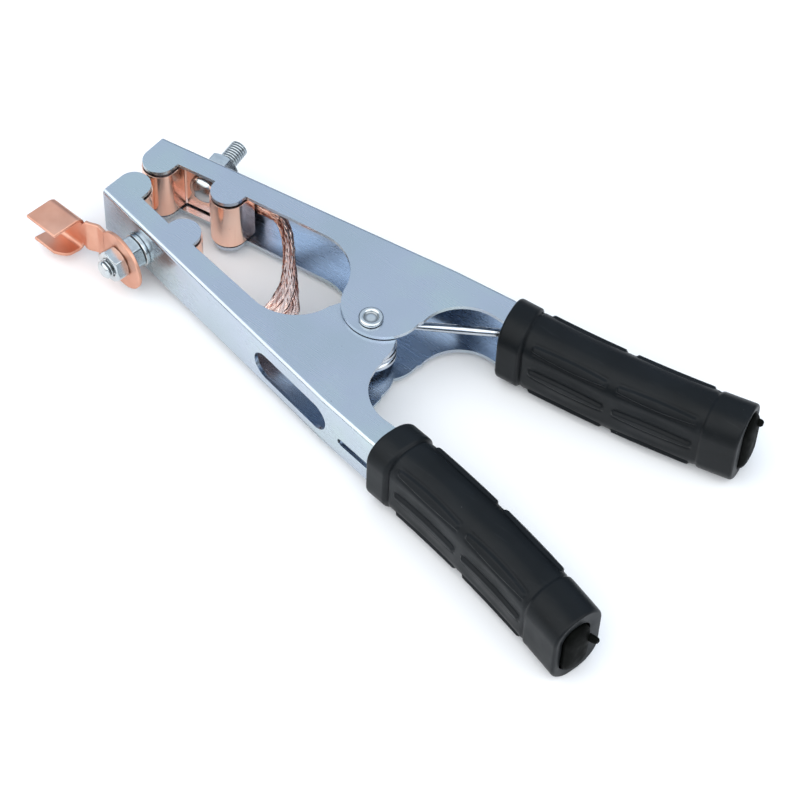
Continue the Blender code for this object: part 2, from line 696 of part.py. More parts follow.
def build():
    clear_scene()
    zinc = make_material("zinc_plated_steel", (0.62, 0.70, 0.78), 0.32, 1.0)
    bolt_zinc = make_material("bolt_zinc", (0.68, 0.72, 0.75), 0.28, 1.0)
    spring_steel = make_material("spring_steel", (0.70, 0.72, 0.76), 0.2, 1.0)
    copper = make_material("copper_strip", (0.86, 0.47, 0.33), 0.3, 1.0)
    braid_copper = make_material("braid_copper", (0.62, 0.33, 0.24), 0.45, 1.0)
    lug_copper = make_material("lug_copper", (0.80, 0.45, 0.33), 0.45, 1.0)
    grip_vinyl = make_material("grip_vinyl", (0.02, 0.022, 0.025), 0.45, 0.0)
    plug_rubber = make_material("plug_rubber", (0.012, 0.012, 0.012), 0.7, 0.0)

    inner = hinge_empty("inner_arm_axis")
    outer = hinge_empty("outer_arm_axis")
    arms = (
        ("inner", -1, INNER_HEIGHT, INNER_BOLT_REACH, INNER_GRIP, inner),
        ("outer", 1, OUTER_HEIGHT, OUTER_BOLT_REACH, OUTER_GRIP, outer),
    )
    nut_seat = GAP + WASHER_SHEET + GAP
    for word, side, height, reach, span, empty in arms:
        make_arm(f"{word}_arm", side, height, zinc, empty)
        make_pad(f"{word}_jaw_pad", side, height, copper, empty)
        make_bolt(f"{word}_terminal_bolt", side, reach, bolt_zinc, empty)
        make_washer(f"{word}_terminal_washer", side, GAP, bolt_zinc, empty)
        make_nut(f"{word}_terminal_nut", side, nut_seat, NUT_HEIGHT, bolt_zinc, empty, turn=-4)
        make_eyelet(f"{word}_braid_eyelet", side, braid_copper, empty)
        make_grip(f"{word}_grip", side, height, span, grip_vinyl, empty)
        make_plug(f"{word}_grip_plug", side, height, span, plug_rubber, empty)

    lug_seat = nut_seat + NUT_HEIGHT + GAP
    make_lug(lug_copper, inner, lug_seat)
    make_nut("lug_nut", -1, lug_seat + LUG_SHEET + GAP, LUG_NUT_HEIGHT, bolt_zinc, inner, turn=-10)
    make_rivet(bolt_zinc, inner)
    make_bush(zinc, inner)
    make_spring(spring_steel, inner)
    make_braid(braid_copper, inner)


build()
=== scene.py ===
"""Looks of the ground clamp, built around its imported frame.

Each CAD node gets a finely made piece in the same place: folded and pressed sheet, threaded bolts,
woven braid, moulded grips. Lengths are in metres and measured from the hinge axis, as in the CAD.
"""

import json
from math import atan, atan2, cos, degrees, exp, hypot, pi, radians, sin, sqrt

import bmesh
import bpy
from mathutils import Matrix, Vector, noise


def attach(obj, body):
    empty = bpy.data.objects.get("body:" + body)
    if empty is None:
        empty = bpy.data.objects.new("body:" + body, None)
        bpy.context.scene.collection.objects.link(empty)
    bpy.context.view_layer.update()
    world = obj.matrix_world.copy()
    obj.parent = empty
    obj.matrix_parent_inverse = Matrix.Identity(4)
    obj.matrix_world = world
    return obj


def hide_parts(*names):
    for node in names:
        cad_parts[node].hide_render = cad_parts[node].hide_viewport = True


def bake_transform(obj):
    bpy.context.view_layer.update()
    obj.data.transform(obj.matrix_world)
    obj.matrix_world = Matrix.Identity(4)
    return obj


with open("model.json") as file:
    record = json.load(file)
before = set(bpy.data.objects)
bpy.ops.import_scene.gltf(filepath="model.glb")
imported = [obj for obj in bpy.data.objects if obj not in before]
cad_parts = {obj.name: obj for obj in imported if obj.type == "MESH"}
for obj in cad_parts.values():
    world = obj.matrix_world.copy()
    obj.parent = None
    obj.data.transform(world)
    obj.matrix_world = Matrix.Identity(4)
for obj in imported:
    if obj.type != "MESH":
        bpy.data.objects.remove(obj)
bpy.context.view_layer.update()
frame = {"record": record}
RECORD = frame["record"]
HINGE = Vector(RECORD["behaviour"]["joints"][0]["pos_m"])
BODY_OF = {node: body for body, nodes in RECORD["behaviour"]["bodies"].items() for node in nodes}

MM = 0.001

# Clearance between pieces as in the CAD, a finer one under nuts, and the rounding of edges.
GAP, SEAT_GAP, EDGE = 0.3 * MM, 0.04 * MM, 0.16 * MM

# The camera stands far off, so the clamp shows little perspective.
CAMERA_AZIMUTH, CAMERA_ELEVATION, CAMERA_ROLL = radians(37.4), radians(52.34), radians(2.8)
CAMERA_TARGET = Vector((20.76, -11.03, 0)) * MM
CAMERA_DISTANCE = 0.7834
CAMERA_LENS = 119.18

# Sheet steel levers, in plan. Lobes, throat and crotch are circles, as x, y and radius.
SHEET = 1.3 * MM
OUTER_HEIGHT = 22.0 * MM
INNER_HEIGHT = OUTER_HEIGHT - 2 * (SHEET + GAP)
FOLD_RADIUS = 1.4 * MM
TIP_X, TIP_Y = -96.4 * MM, 14.0 * MM
WEB_SLOPE = 0.172
WEB_ANGLE = atan(WEB_SLOPE)
WEB_BEND_X = 8.0 * MM
HANDLE_START_X, HANDLE_END_X = 27.0 * MM, 97.0 * MM
HANDLE_START_Y = 29.7 * MM
HANDLE_SLOPE, HANDLE_CURVE = 0.085, 1.2
HANDLE_HALF_WIDTH = 4.7 * MM
FRONT_LOBE = (-90.8 * MM, 5.9 * MM, 5.4 * MM)
REAR_LOBE = (-66.2 * MM, 10.4 * MM, 5.6 * MM)
NOTCH_DEPTH_Y = 8.3 * MM
THROAT = (-29.5 * MM, 0.0, 16.4 * MM)
THROAT_START_Y = 12.1 * MM
HINGE_LOBE = (-1.0 * MM, 7.0 * MM, 12.8 * MM)
CROTCH = (27.0 * MM, 10.5 * MM, 14.7 * MM)
SLOT_CENTRE = (-6.6 * MM, -0.8 * MM)
SLOT_LENGTH, SLOT_WIDTH = 33.0 * MM, 10.4 * MM
SLIT_START_X, SLIT_LENGTH, SLIT_WIDTH, SLIT_Z = 15.0 * MM, 24.0 * MM, 2.6 * MM, -2.8 * MM

# Hinge and spring.
RIVET_RADIUS, RIVET_HEAD_RADIUS, RIVET_HEAD_HEIGHT = 3.0 * MM, 3.8 * MM, 1.3 * MM
RIVET_RECESS_RADIUS, RIVET_RECESS_DEPTH = 2.1 * MM, 1.0 * MM
RIVET_DISH = ((1.85 * MM, 0.06 * MM), (1.6 * MM, 0.0), (1.1 * MM, 0.12 * MM), (0.4 * MM, 0.2 * MM))
# Painted shade in the rivet's recess: how strongly, and round what radius, the groove mark darkens
# it.
RIVET_SHADE_RADIUS, RIVET_SHADE_STRENGTH = 1.8 * MM, 0.7
BUSH_RADIUS = 4.9 * MM
WIRE_RADIUS = 1.4 * MM
COIL_RADIUS, COIL_PITCH, COIL_LOW_Z, COIL_TURNS = 7.0 * MM, 3.1 * MM, -6.0 * MM, 2.2
LEG_END_X = 34.0 * MM

# Jaw pads and terminals.
PAD_SHEET, PAD_PROUD, PAD_BEND = 1.2 * MM, 0.35 * MM, 1.4 * MM
PAD_CLEARANCE = 0.8 * MM
BOLT_X, BOLT_Z = -78.7 * MM, 2.0 * MM
BOLT_RADIUS, THREAD_PITCH, THREAD_DEPTH = 3.0 * MM, 1.0 * MM, 0.6 * MM
BOLT_HEAD_RADIUS, BOLT_HEAD_HEIGHT = 5.0 * MM, 3.0 * MM
BOLT_REACH = {"outer": 15.6 * MM, "inner": 14.4 * MM}
NUT_FLATS, NUT_HEIGHT, LUG_NUT_HEIGHT = 10.0 * MM, 4.6 * MM, 4.0 * MM
NUT_BORE, NUT_COUNTERSINK = BOLT_RADIUS + 0.05 * MM, 0.45 * MM
WASHER_RADIUS, WASHER_SHEET = 5.7 * MM, 1.1 * MM
STRAP_SHEET, STRAP_WIDTH, EYELET_LENGTH = 1.8 * MM, 11.0 * MM, 15.0 * MM

# Cable lug.
LUG_SHEET = 1.2 * MM
LUG_EYE_RADIUS, LUG_NECK_WIDTH, LUG_NECK_ANGLE = 10.0 * MM, 12.4 * MM, radians(38)
LUG_STEP_START, LUG_STEP_END, LUG_STEP = 10.6 * MM, 15.0 * MM, 2.0 * MM
BARREL_NEAR, BARREL_LENGTH, BARREL_RISE = 16.6 * MM, 12.4 * MM, 1.6 * MM
BARREL_WIDTH, BARREL_BEND, BARREL_DROP = 13.0 * MM, 2.2 * MM, 0.7 * MM
WING_LENGTH, WING_SHORT, WING_FLARE = 8.6 * MM, 2.0 * MM, radians(-5)

# Braid: the wires of its carriers wind both ways round it and stray a little from its surface.
WIRE, CARRIERS, WIRES_EACH = 0.18 * MM, 16, 4
BRAID_LAY, BRAID_LIFT, BRAID_WANDER, BRAID_SINK = 84 * MM, 0.13 * MM, 0.15 * MM, 0.22 * MM
BRAID_CORE_INSET = 2.6 * WIRE

# Grips: where each starts, where its end collar starts, and where it ends.
GRIP_SPAN = {
    "inner": (31.8 * MM, 98.6 * MM, 112.2 * MM),
    "outer": (30.0 * MM, 96.4 * MM, 107.4 * MM),
}
GRIP_HALF_WIDTH, GRIP_HALF_HEIGHT, GRIP_CORNER = 8.2 * MM, 12.9 * MM, 7.2 * MM
GRIP_INWARD, GRIP_SLOPE = 0.9 * MM, 0.20
GRIP_SKIN, GRIP_LIP = 0.15 * MM, 0.9 * MM
FRONT_COLLAR, FRONT_COLLAR_LENGTH, FRONT_CREASE = 0.85 * MM, 8.0 * MM, 0.45 * MM
END_COLLAR, END_CREASE = 0.40 * MM, 0.30 * MM
RIB_ROWS, RIB_HEIGHT, RIB_CREASE = (-10.1 * MM, 0.0, 10.1 * MM), 0.75 * MM, 0.22 * MM
FLUTE_ROWS, FLUTE_DEPTH = (-5.1 * MM, 5.1 * MM, -14.5 * MM, 14.5 * MM), 0.25 * MM
AROUND = 280

# Plugs, and the tab on each: where it stands across and up, its reach, and its lean across.
PLUG_DOME = 2.0 * MM
PLUG_TAB = {
    "inner": (3.4 * MM, 3.0 * MM, 4.0 * MM, 0.4),
    "outer": (2.0 * MM, 7.4 * MM, 3.0 * MM, 0.0),
}


# --- Camera, floor and light ---

def placed(name, data):
    obj = bpy.data.objects.new(name, data)
    bpy.context.scene.collection.objects.link(obj)
    return obj


def add_camera():
    back = Vector((
        sin(CAMERA_AZIMUTH) * cos(CAMERA_ELEVATION),
        -cos(CAMERA_AZIMUTH) * cos(CAMERA_ELEVATION),
        sin(CAMERA_ELEVATION),
    ))
    level = Vector((cos(CAMERA_AZIMUTH), sin(CAMERA_AZIMUTH), 0))
    upright = back.cross(level)
    right = cos(CAMERA_ROLL) * level + sin(CAMERA_ROLL) * upright
    up = cos(CAMERA_ROLL) * upright - sin(CAMERA_ROLL) * level
    data = bpy.data.cameras.new("camera")
    data.lens = CAMERA_LENS
    data.clip_start, data.clip_end = 0.01, 20
    camera = placed("camera", data)
    place = HINGE + CAMERA_TARGET + CAMERA_DISTANCE * back
    turn = Matrix((right, up, back)).transposed().to_4x4()
    camera.matrix_world = Matrix.Translation(place) @ turn
    bpy.context.scene.camera = camera


def add_area(name, place, size, power, colour):
    data = bpy.data.lights.new(name, "AREA")
    data.shape, data.size, data.energy, data.color = "DISK", size, power, colour
    light = placed(name, data)
    light.location = place
    light.rotation_euler = (HINGE - Vector(place)).to_track_quat("-Z", "Y").to_euler()


def add_studio():
    """A bright cool sky over a dark horizon, so that folds and rolled edges get a crisp dark line.

    The camera itself sees a plain pale backdrop.
    """
    world = bpy.data.worlds.new("studio")
    world.use_nodes = True
    tree = world.node_tree
    place = node(tree, "ShaderNodeTexCoord").outputs["Generated"]
    height = node(tree, "ShaderNodeSeparateXYZ", {"Vector": place}).outputs["Z"]
    dark, dim = (0.02, 0.025, 0.035), (0.06, 0.075, 0.11)
    bright, top = (0.67, 0.81, 1.0), (0.78, 0.88, 1.0)
    sky = ramp(tree, height, (0.0, dark), (0.20, dim), (0.48, bright), (0.85, top))
    seen = node(tree, "ShaderNodeLightPath").outputs["Is Camera Ray"]
    shown = mixed(tree, seen, sky, (0.93, 0.96, 1.0))
    tree.links.new(shown, tree.nodes["Background"].inputs["Color"])
    bpy.context.scene.world = world
    add_area("key", (-0.30, -0.95, 1.05), 2.5, 21, (1.0, 0.95, 0.87))
    add_area("fill", (0.95, -0.10, 0.80), 1.6, 9, (1.0, 0.97, 0.92))
    bpy.context.scene.view_settings.view_transform = "Standard"


def add_floor(material):
    bm = bmesh.new()
    bmesh.ops.create_grid(bm, x_segments=6, y_segments=6, size=1.6)
    mesh = bpy.data.meshes.new("floor")
    bm.to_mesh(mesh)
    bm.free()
    mesh.materials.append(material)
    floor = placed("floor", mesh)
    floor.location.z = -GAP


# --- Materials ---

def node(tree, kind, values=None, **settings):
    """A shader node with its settings; a value is a number, a tuple or another node's output."""
    made = tree.nodes.new(kind)
    for key, value in settings.items():
        setattr(made, key, value)
    for key, value in (values or {}).items():
        if isinstance(value, bpy.types.NodeSocket):
            tree.links.new(value, made.inputs[key])
        else:
            made.inputs[key].default_value = value
    return made


def speckle(tree, scale, detail, stretch=(1, 1, 1)):
    """Noise at a scale in cycles per metre, drawn out along an axis by a small stretch there."""
    place = node(tree, "ShaderNodeTexCoord").outputs["Object"]
    spread = node(tree, "ShaderNodeMapping", {"Vector": place, "Scale": stretch}).outputs["Vector"]
    values = {"Vector": spread, "Scale": scale, "Detail": detail}
    return node(tree, "ShaderNodeTexNoise", values).outputs["Fac"]


def ramp(tree, factor, *stops):
    """Maps 0..1 to colours or greys given as (position, value) pairs."""
    made = node(tree, "ShaderNodeValToRGB", {"Fac": factor})
    band = made.color_ramp
    while len(band.elements) < len(stops):
        band.elements.new(0.5)
    for element, (place, value) in zip(band.elements, stops):
        element.position = place
        colour = value if isinstance(value, tuple) else (value, value, value)
        element.color = (*colour, 1)
    return made.outputs["Color"]


def patches(tree, scale, detail, low, high, stretch=(1, 1, 1)):
    """Noise that drifts between two colours or two greys."""
    return ramp(tree, speckle(tree, scale, detail, stretch), (0.3, low), (0.7, high))


def spots(tree, scale, size):
    """Small scattered marks: 1 on a mark and 0 elsewhere."""
    place = node(tree, "ShaderNodeTexCoord").outputs["Object"]
    cells = node(tree, "ShaderNodeTexVoronoi", {"Vector": place, "Scale": scale})
    return ramp(tree, cells.outputs["Distance"], (size * 0.6, 1.0), (size, 0.0))


def marked(tree, name):
    """What an attribute of the mesh says, from 0 to 1."""
    return node(tree, "ShaderNodeAttribute", attribute_name=name).outputs["Fac"]


def mixed(tree, factor, first, second):
    values = {0: factor, 6: first, 7: (*second, 1) if isinstance(second, tuple) else second}
    return node(tree, "ShaderNodeMix", values, data_type="RGBA").outputs[2]


def bumped(tree, height, strength, distance, under=None):
    values = {"Height": height, "Strength": strength, "Distance": distance}
    if under is not None:
        values["Normal"] = under
    return node(tree, "ShaderNodeBump", values).outputs["Normal"]


def blank(name):
    material = bpy.data.materials.new(name)
    material.use_nodes = True
    return material, material.node_tree


def finish(material, colour, roughness, normal, metallic=1.0, specular=None):
    tree = material.node_tree
    principled = tree.nodes["Principled BSDF"]
    for name, socket in (("Base Color", colour), ("Roughness", roughness), ("Normal", normal)):
        tree.links.new(socket, principled.inputs[name])
    principled.inputs["Metallic"].default_value = metallic
    if specular is not None:
        principled.inputs["Specular IOR Level"].default_value = specular
    return material


def zinc_sheet():
    """Zinc plating: satin with rolling lines, soft tints and dull specks, with painted shade
    darkening it inside a channel.
    """
    material, tree = blank("zinc_sheet")
    blue, violet, green = (0.46, 0.525, 0.575), (0.49, 0.54, 0.615), (0.50, 0.58, 0.605)
    clouds = ramp(tree, speckle(tree, 30, 4), (0.35, blue), (0.50, violet), (0.65, green))
    # Painted shade: faces marked inside a channel take a darker, bluer tint.
    plating_and_channel_shade = mixed(tree, marked(tree, "inside"), clouds, (0.42, 0.50, 0.61))
    colour = mixed(tree, spots(tree, 120, 0.035), plating_and_channel_shade, (0.34, 0.38, 0.42))
    sheen = mixed(tree, 0.5, speckle(tree, 1, 3, (50, 1500, 1500)), speckle(tree, 70, 4))
    roughness = ramp(tree, sheen, (0.32, 0.20), (0.68, 0.32))
    grain = bumped(tree, speckle(tree, 1, 2, (70, 1900, 1900)), 0.05, 0.02 * MM)
    normal = bumped(tree, speckle(tree, 60, 2), 0.05, 0.10 * MM, grain)
    return finish(material, colour, roughness, normal)


def bright_zinc():
    """Bright zinc-coated fasteners with duller patches, and painted shade where a groove is marked.
    """
    material, tree = blank("bright_zinc")
    dull, bright = (0.50, 0.54, 0.56), (0.64, 0.68, 0.69)
    clouds = ramp(tree, speckle(tree, 260, 4), (0.35, dull), (0.65, bright))
    # Painted shade: where the groove mark is 1 the colour goes near black.
    colour = mixed(tree, marked(tree, "groove"), clouds, (0.10, 0.11, 0.12))
    roughness = patches(tree, 500, 3, 0.15, 0.27)
    normal = bumped(tree, speckle(tree, 900, 2), 0.06, 0.02 * MM)
    return finish(material, colour, roughness, normal)


def spring_steel():
    """Drawn wire: bright, with fine lines."""
    material, tree = blank("spring_steel")
    colour = patches(tree, 180, 3, (0.50, 0.54, 0.59), (0.64, 0.67, 0.71))
    roughness = patches(tree, 1, 3, 0.12, 0.26, stretch=(120, 900, 1800))
    normal = bumped(tree, speckle(tree, 1, 2, (90, 700, 2600)), 0.10, 0.02 * MM)
    return finish(material, colour, roughness, normal)


def copper_strip():
    """Rolled copper: smooth and warm, with faint upright streaks and a few fine dark pits."""
    material, tree = blank("copper_strip")
    clouds = patches(tree, 60, 4, (0.98, 0.57, 0.43), (1.0, 0.70, 0.56))
    streaks = ramp(tree, speckle(tree, 1, 3, (900, 900, 45)), (0.55, 0.0), (0.80, 0.22))
    rubbed = mixed(tree, streaks, clouds, (0.72, 0.33, 0.22))
    pits = spots(tree, 420, 0.055)
    colour = mixed(tree, pits, rubbed, (0.16, 0.07, 0.04))
    roughness = patches(tree, 1, 3, 0.13, 0.26, stretch=(700, 700, 60))
    sunk = bumped(tree, pits, -0.15, 0.05 * MM)
    normal = bumped(tree, speckle(tree, 1, 2, (700, 700, 50)), 0.05, 0.03 * MM, sunk)
    return finish(material, colour, roughness, normal)


def braid_copper():
    """Fine copper wire: each wire keeps its own tone, from dark tarnish to bright pink; the core
    inside, at tone 0, is near black as painted shade between the wires.
    """
    material, tree = blank("braid_copper")
    tarnish_and_core_shade, brown, pink = (0.04, 0.012, 0.008), (0.36, 0.13, 0.09), (1.0, 0.80, 0.71)
    colour = ramp(tree, marked(tree, "tone"), (0.0, tarnish_and_core_shade), (0.3, brown), (1.0, pink))
    roughness = patches(tree, 700, 3, 0.15, 0.28)
    normal = bumped(tree, speckle(tree, 2600, 2), 0.08, 0.03 * MM)
    return finish(material, colour, roughness, normal)


def lug_copper():
    """Pickled copper stamping: matte and salmon pink, a little browner in patches."""
    material, tree = blank("lug_copper")
    clouds = patches(tree, 90, 5, (0.64, 0.31, 0.21), (0.78, 0.44, 0.32))
    colour = mixed(tree, spots(tree, 300, 0.05), clouds, (0.38, 0.17, 0.11))
    roughness = patches(tree, 200, 4, 0.36, 0.52)
    normal = bumped(tree, speckle(tree, 1200, 3), 0.10, 0.04 * MM)
    return finish(material, colour, roughness, normal)


def grip_vinyl():
    """Moulded black vinyl: fine grain, faint scuffs along the handle and a little pale dust."""
    material, tree = blank("grip_vinyl")
    clouds = patches(tree, 45, 4, (0.0028, 0.0040, 0.0048), (0.0062, 0.0084, 0.0105))
    scuffs = ramp(tree, speckle(tree, 1, 4, (110, 800, 800)), (0.60, 0.0), (0.82, 0.22))
    scuffed = mixed(tree, scuffs, clouds, (0.028, 0.030, 0.035))
    colour = mixed(tree, spots(tree, 110, 0.022), scuffed, (0.07, 0.075, 0.08))
    roughness = patches(tree, 110, 4, 0.36, 0.50)
    grain = bumped(tree, speckle(tree, 1900, 3), 0.10, 0.04 * MM)
    normal = bumped(tree, speckle(tree, 130, 3), 0.10, 0.2 * MM, grain)
    return finish(material, colour, roughness, normal, metallic=0.0, specular=0.17)


def plug_rubber():
    """Soft black rubber, duller than the grip, with a fine matte texture."""
    material, tree = blank("plug_rubber")
    colour = patches(tree, 240, 4, (0.0008, 0.0011, 0.0008), (0.0022, 0.0028, 0.0022))
    roughness = patches(tree, 420, 4, 0.50, 0.68)
    normal = bumped(tree, speckle(tree, 1400, 4), 0.22, 0.05 * MM)
    return finish(material, colour, roughness, normal, metallic=0.0, specular=0.04)


def floor_paint():
    """Pale studio floor with the faintest mottling."""
    material, tree = blank("floor_paint")
    colour = patches(tree, 6, 3, (0.93, 0.935, 0.94), (0.95, 0.95, 0.955))
    roughness = patches(tree, 20, 3, 0.75, 0.85)
    normal = bumped(tree, speckle(tree, 300, 2), 0.02, 0.1 * MM)
    return finish(material, colour, roughness, normal, metallic=0.0)


# --- Mesh helpers ---

def to_object(name, bm):
    bmesh.ops.remove_doubles(bm, verts=bm.verts, dist=1e-7)
    bmesh.ops.recalc_face_normals(bm, faces=bm.faces)
    mesh = bpy.data.meshes.new(name)
    bm.to_mesh(mesh)
    bm.free()
    return placed(name, mesh)


def bake(obj):
    """Replaces an object's mesh with what its modifiers make of it."""
    graph = bpy.context.evaluated_depsgraph_get()
    mesh = bpy.data.meshes.new_from_object(obj.evaluated_get(graph))
    obj.modifiers.clear()
    obj.data = mesh
    return obj


def cut(obj, *cutters, operation="DIFFERENCE"):
    for cutter in cutters:
        modifier = obj.modifiers.new(cutter.name, "BOOLEAN")
        modifier.operation, modifier.solver, modifier.object = operation, "EXACT", cutter
    bake(obj)
    for cutter in cutters:
        bpy.data.objects.remove(cutter)
    return obj


def ease_edges(obj, width=EDGE, segments=2, angle=38):
    """Rounds every edge sharper than the angle, as real edges are."""
    bevel = obj.modifiers.new("edges", "BEVEL")
    bevel.width, bevel.segments = width, segments
    bevel.limit_method, bevel.angle_limit = "ANGLE", radians(angle)
    return bake(obj)


def stand_in(obj, node_name, material, sharp=35, soft=False):
    """Moves a finished piece to the hinge, shades it and lets it replace its CAD node.

    A rigid piece is shaded flat to the edges of its flat faces and rides its lever.
    """
    obj.data.transform(Matrix.Translation(HINGE))
    obj.name = f"{node_name}_detail"
    obj.data.name = obj.name
    obj.data.materials.clear()
    obj.data.materials.append(material)
    obj.data.shade_smooth()
    obj.data.set_sharp_from_angle(angle=radians(sharp))
    if not soft:
        weigh = obj.modifiers.new("flat_faces", "WEIGHTED_NORMAL")
        weigh.keep_sharp = True
        bake(obj)
        obj.data.name = obj.name
    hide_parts(node_name)
    if not soft:
        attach(obj, BODY_OF[node_name])
    return obj


def full_turn(steps):
    return [2 * pi * i / steps for i in range(steps)]


def arc(centre, radius, start, end, steps):
    """Points along an arc whose ends are given in degrees."""
    turns = [radians(start + (end - start) * i / steps) for i in range(steps + 1)]
    return [(centre[0] + radius * cos(t), centre[1] + radius * sin(t)) for t in turns]


def extrude_outline(bm, outline, low, high):
    bottom = [bm.verts.new((x, y, low)) for x, y in outline]
    top = [bm.verts.new((x, y, high)) for x, y in outline]
    bm.faces.new(bottom[::-1])
    bm.faces.new(top)
    for i in range(len(outline)):
        j = (i + 1) % len(outline)
        bm.faces.new((bottom[i], bottom[j], top[j], top[i]))
    return bottom, top


def prism(name, outline, low, high):
    bm = bmesh.new()
    extrude_outline(bm, outline, low, high)
    return to_object(name, bm)


def cylinder(name, radius, low, high, steps=64):
    return prism(name, arc((0, 0), radius, 0, 360 - 360 / steps, steps - 1), low, high)


def skin(bm, rings, closed_tube=False):
    """Quads between equal rings of points; ends are capped unless the tube closes on itself."""
    loops = [[bm.verts.new(point) for point in ring] for ring in rings]
    pairs = list(zip(loops, loops[1:]))
    if closed_tube:
        pairs.append((loops[-1], loops[0]))
    for near, far in pairs:
        for i in range(len(near)):
            j = (i + 1) % len(near)
            bm.faces.new((near[i], near[j], far[j], far[i]))
    if not closed_tube:
        bm.faces.new(loops[0][::-1])
        bm.faces.new(loops[-1])


def hoop(radius, z, steps):
    return [(radius * cos(t), radius * sin(t), z) for t in full_turn(steps)]


def skinned(name, rings, closed_tube=False):
    bm = bmesh.new()
    skin(bm, rings, closed_tube)
    return to_object(name, bm)


def pipe(name, inner, outer, low, high, steps):
    profile = [(inner, low), (outer, low), (outer, high), (inner, high)]
    rings = [[(r * cos(t), r * sin(t), z) for r, z in profile] for t in full_turn(steps)]
    return skinned(name, rings, closed_tube=True)


def mirror_plan(outline, side):
    return [(x, side * y) for x, y in outline]


def catmull(points, steps):
    """A smooth curve through tuples of any length, with steps points per span."""
    def between(p, q, r, s, t):
        square, cube = 2 * p - 5 * q + 4 * r - s, 3 * q - p - 3 * r + s
        return 0.5 * (2 * q + (r - p) * t + square * t * t + cube * t ** 3)

    padded = [points[0]] + list(points) + [points[-1]]
    curve = []
    for span in zip(padded, padded[1:], padded[2:], padded[3:]):
        for i in range(steps):
            curve.append(tuple(between(*values, i / steps) for values in zip(*span)))
    curve.append(points[-1])
    return curve


def smooth_step(value, low, high):
    t = max(0.0, min(1.0, (value - low) / (high - low)))
    return t * t * (3 - 2 * t)


# --- Levers ---

def web_y(x, inset=0.0):
    return TIP_Y + WEB_SLOPE * (x - TIP_X) - inset / cos(WEB_ANGLE)


def handle_y(x):
    run = x - HANDLE_START_X
    return HANDLE_START_Y + HANDLE_SLOPE * run + HANDLE_CURVE * run * run


def handle_edge(offset, start=HANDLE_START_X, end=HANDLE_END_X, steps=28):
    stations = [start + (end - start) * i / steps for i in range(steps + 1)]
    return [(x, handle_y(x) + offset) for x in stations]


def web_matrix(side):
    """Turns +z square to the web, out of the clamp, and puts the origin at the bolt hole."""
    outward = Vector((-sin(WEB_ANGLE), side * cos(WEB_ANGLE), 0))
    along = Vector((-cos(WEB_ANGLE), -side * sin(WEB_ANGLE), 0))
    turn = Matrix((along, outward.cross(along), outward)).transposed()
    foot = Vector((BOLT_X, side * web_y(BOLT_X), side * BOLT_Z))
    return Matrix.Translation(foot) @ turn.to_4x4()


def on_web(obj, side):
    obj.data.transform(web_matrix(side))
    return obj


def arm_outline():
    (front_x, front_y, front_r), (rear_x, rear_y, rear_r) = FRONT_LOBE, REAR_LOBE
    notch_end = rear_x - rear_r
    points = [(TIP_X, TIP_Y)]
    points += arc((front_x, front_y), front_r, 180, 360, 36)
    points.append((front_x + front_r, NOTCH_DEPTH_Y))
    points.append((notch_end, NOTCH_DEPTH_Y + WEB_SLOPE * (notch_end - front_x - front_r)))
    points += arc((rear_x, rear_y), rear_r, 180, 360, 36)
    points.append((rear_x + rear_r, THROAT_START_Y))
    points += arc(THROAT[:2], THROAT[2], 99, 11, 32)
    points += arc(HINGE_LOBE[:2], HINGE_LOBE[2], 200, 366, 44)
    points += arc(CROTCH[:2], CROTCH[2], 184, 92, 28)
    points += handle_edge(-HANDLE_HALF_WIDTH, start=30 * MM)
    points += handle_edge(HANDLE_HALF_WIDTH)[::-1]
    points.append((WEB_BEND_X, web_y(WEB_BEND_X)))
    return points


def hollow_outline():
    """The space inside the channel, run well past the flanges' free edges."""
    clear = 60 * MM
    points = [(TIP_X - clear, web_y(TIP_X - clear, SHEET)), (TIP_X - clear, -clear)]
    far = HANDLE_END_X + clear
    points += [(far, -clear), (far, handle_y(far))]
    points += handle_edge(HANDLE_HALF_WIDTH - SHEET, end=HANDLE_END_X + clear / 4, steps=34)[::-1]
    points.append((WEB_BEND_X, web_y(WEB_BEND_X, SHEET)))
    return points


def round_fold(bm, rings, count):
    for ring in rings:
        chain = ring[-count:] + [ring[0]]
        edges = [bm.edges.get(pair) for pair in zip(chain, chain[1:])]
        bmesh.ops.bevel(bm, geom=edges, offset=FOLD_RADIUS, segments=7, profile=0.5, affect="EDGES")


def capsule(length, width, steps=24):
    radius, reach = width / 2, (length - width) / 2
    return arc((reach, 0), radius, -90, 90, steps) + arc((-reach, 0), radius, 90, 270, steps)


def standing_capsule(name, length, width, depth, middle, angle):
    obj = prism(name, capsule(length, width), -depth, depth)
    obj.data.transform(Matrix.Rotation(angle, 4, "Z") @ Matrix.Rotation(pi / 2, 4, "X"))
    obj.data.transform(Matrix.Translation(middle))
    return obj


def web_slot(side):
    x, z = SLOT_CENTRE
    middle = (x, side * web_y(x), -side * z)
    return standing_capsule("slot", SLOT_LENGTH, SLOT_WIDTH, 4 * SHEET, middle, side * WEB_ANGLE)


def web_slit(side):
    x = SLIT_START_X + SLIT_LENGTH / 2
    reach = 10 * MM
    slope = (handle_y(x + reach) - handle_y(x - reach)) / (2 * reach)
    middle = (x, side * (handle_y(x) + HANDLE_HALF_WIDTH), -side * SLIT_Z)
    return standing_capsule("slit", SLIT_LENGTH, SLIT_WIDTH, 4 * SHEET, middle, side * atan(slope))


def mark_channel_shade(arm, side, height):
    """Marks the faces inside a channel, which the sheet's material darkens and blues as painted
    shade.
    """
    reach = height / 2 - SHEET + 0.05 * MM
    marks = arm.data.attributes.new("inside", "FLOAT", "FACE")
    for face, mark in zip(arm.data.polygons, marks.data):
        up = face.center.z - HINGE.z
        inward = Vector((0, 0, -up)) if abs(face.normal.z) > 0.5 else Vector((0, -side, 0))
        mark.value = float(abs(up) < reach and face.normal.dot(inward) > 0)


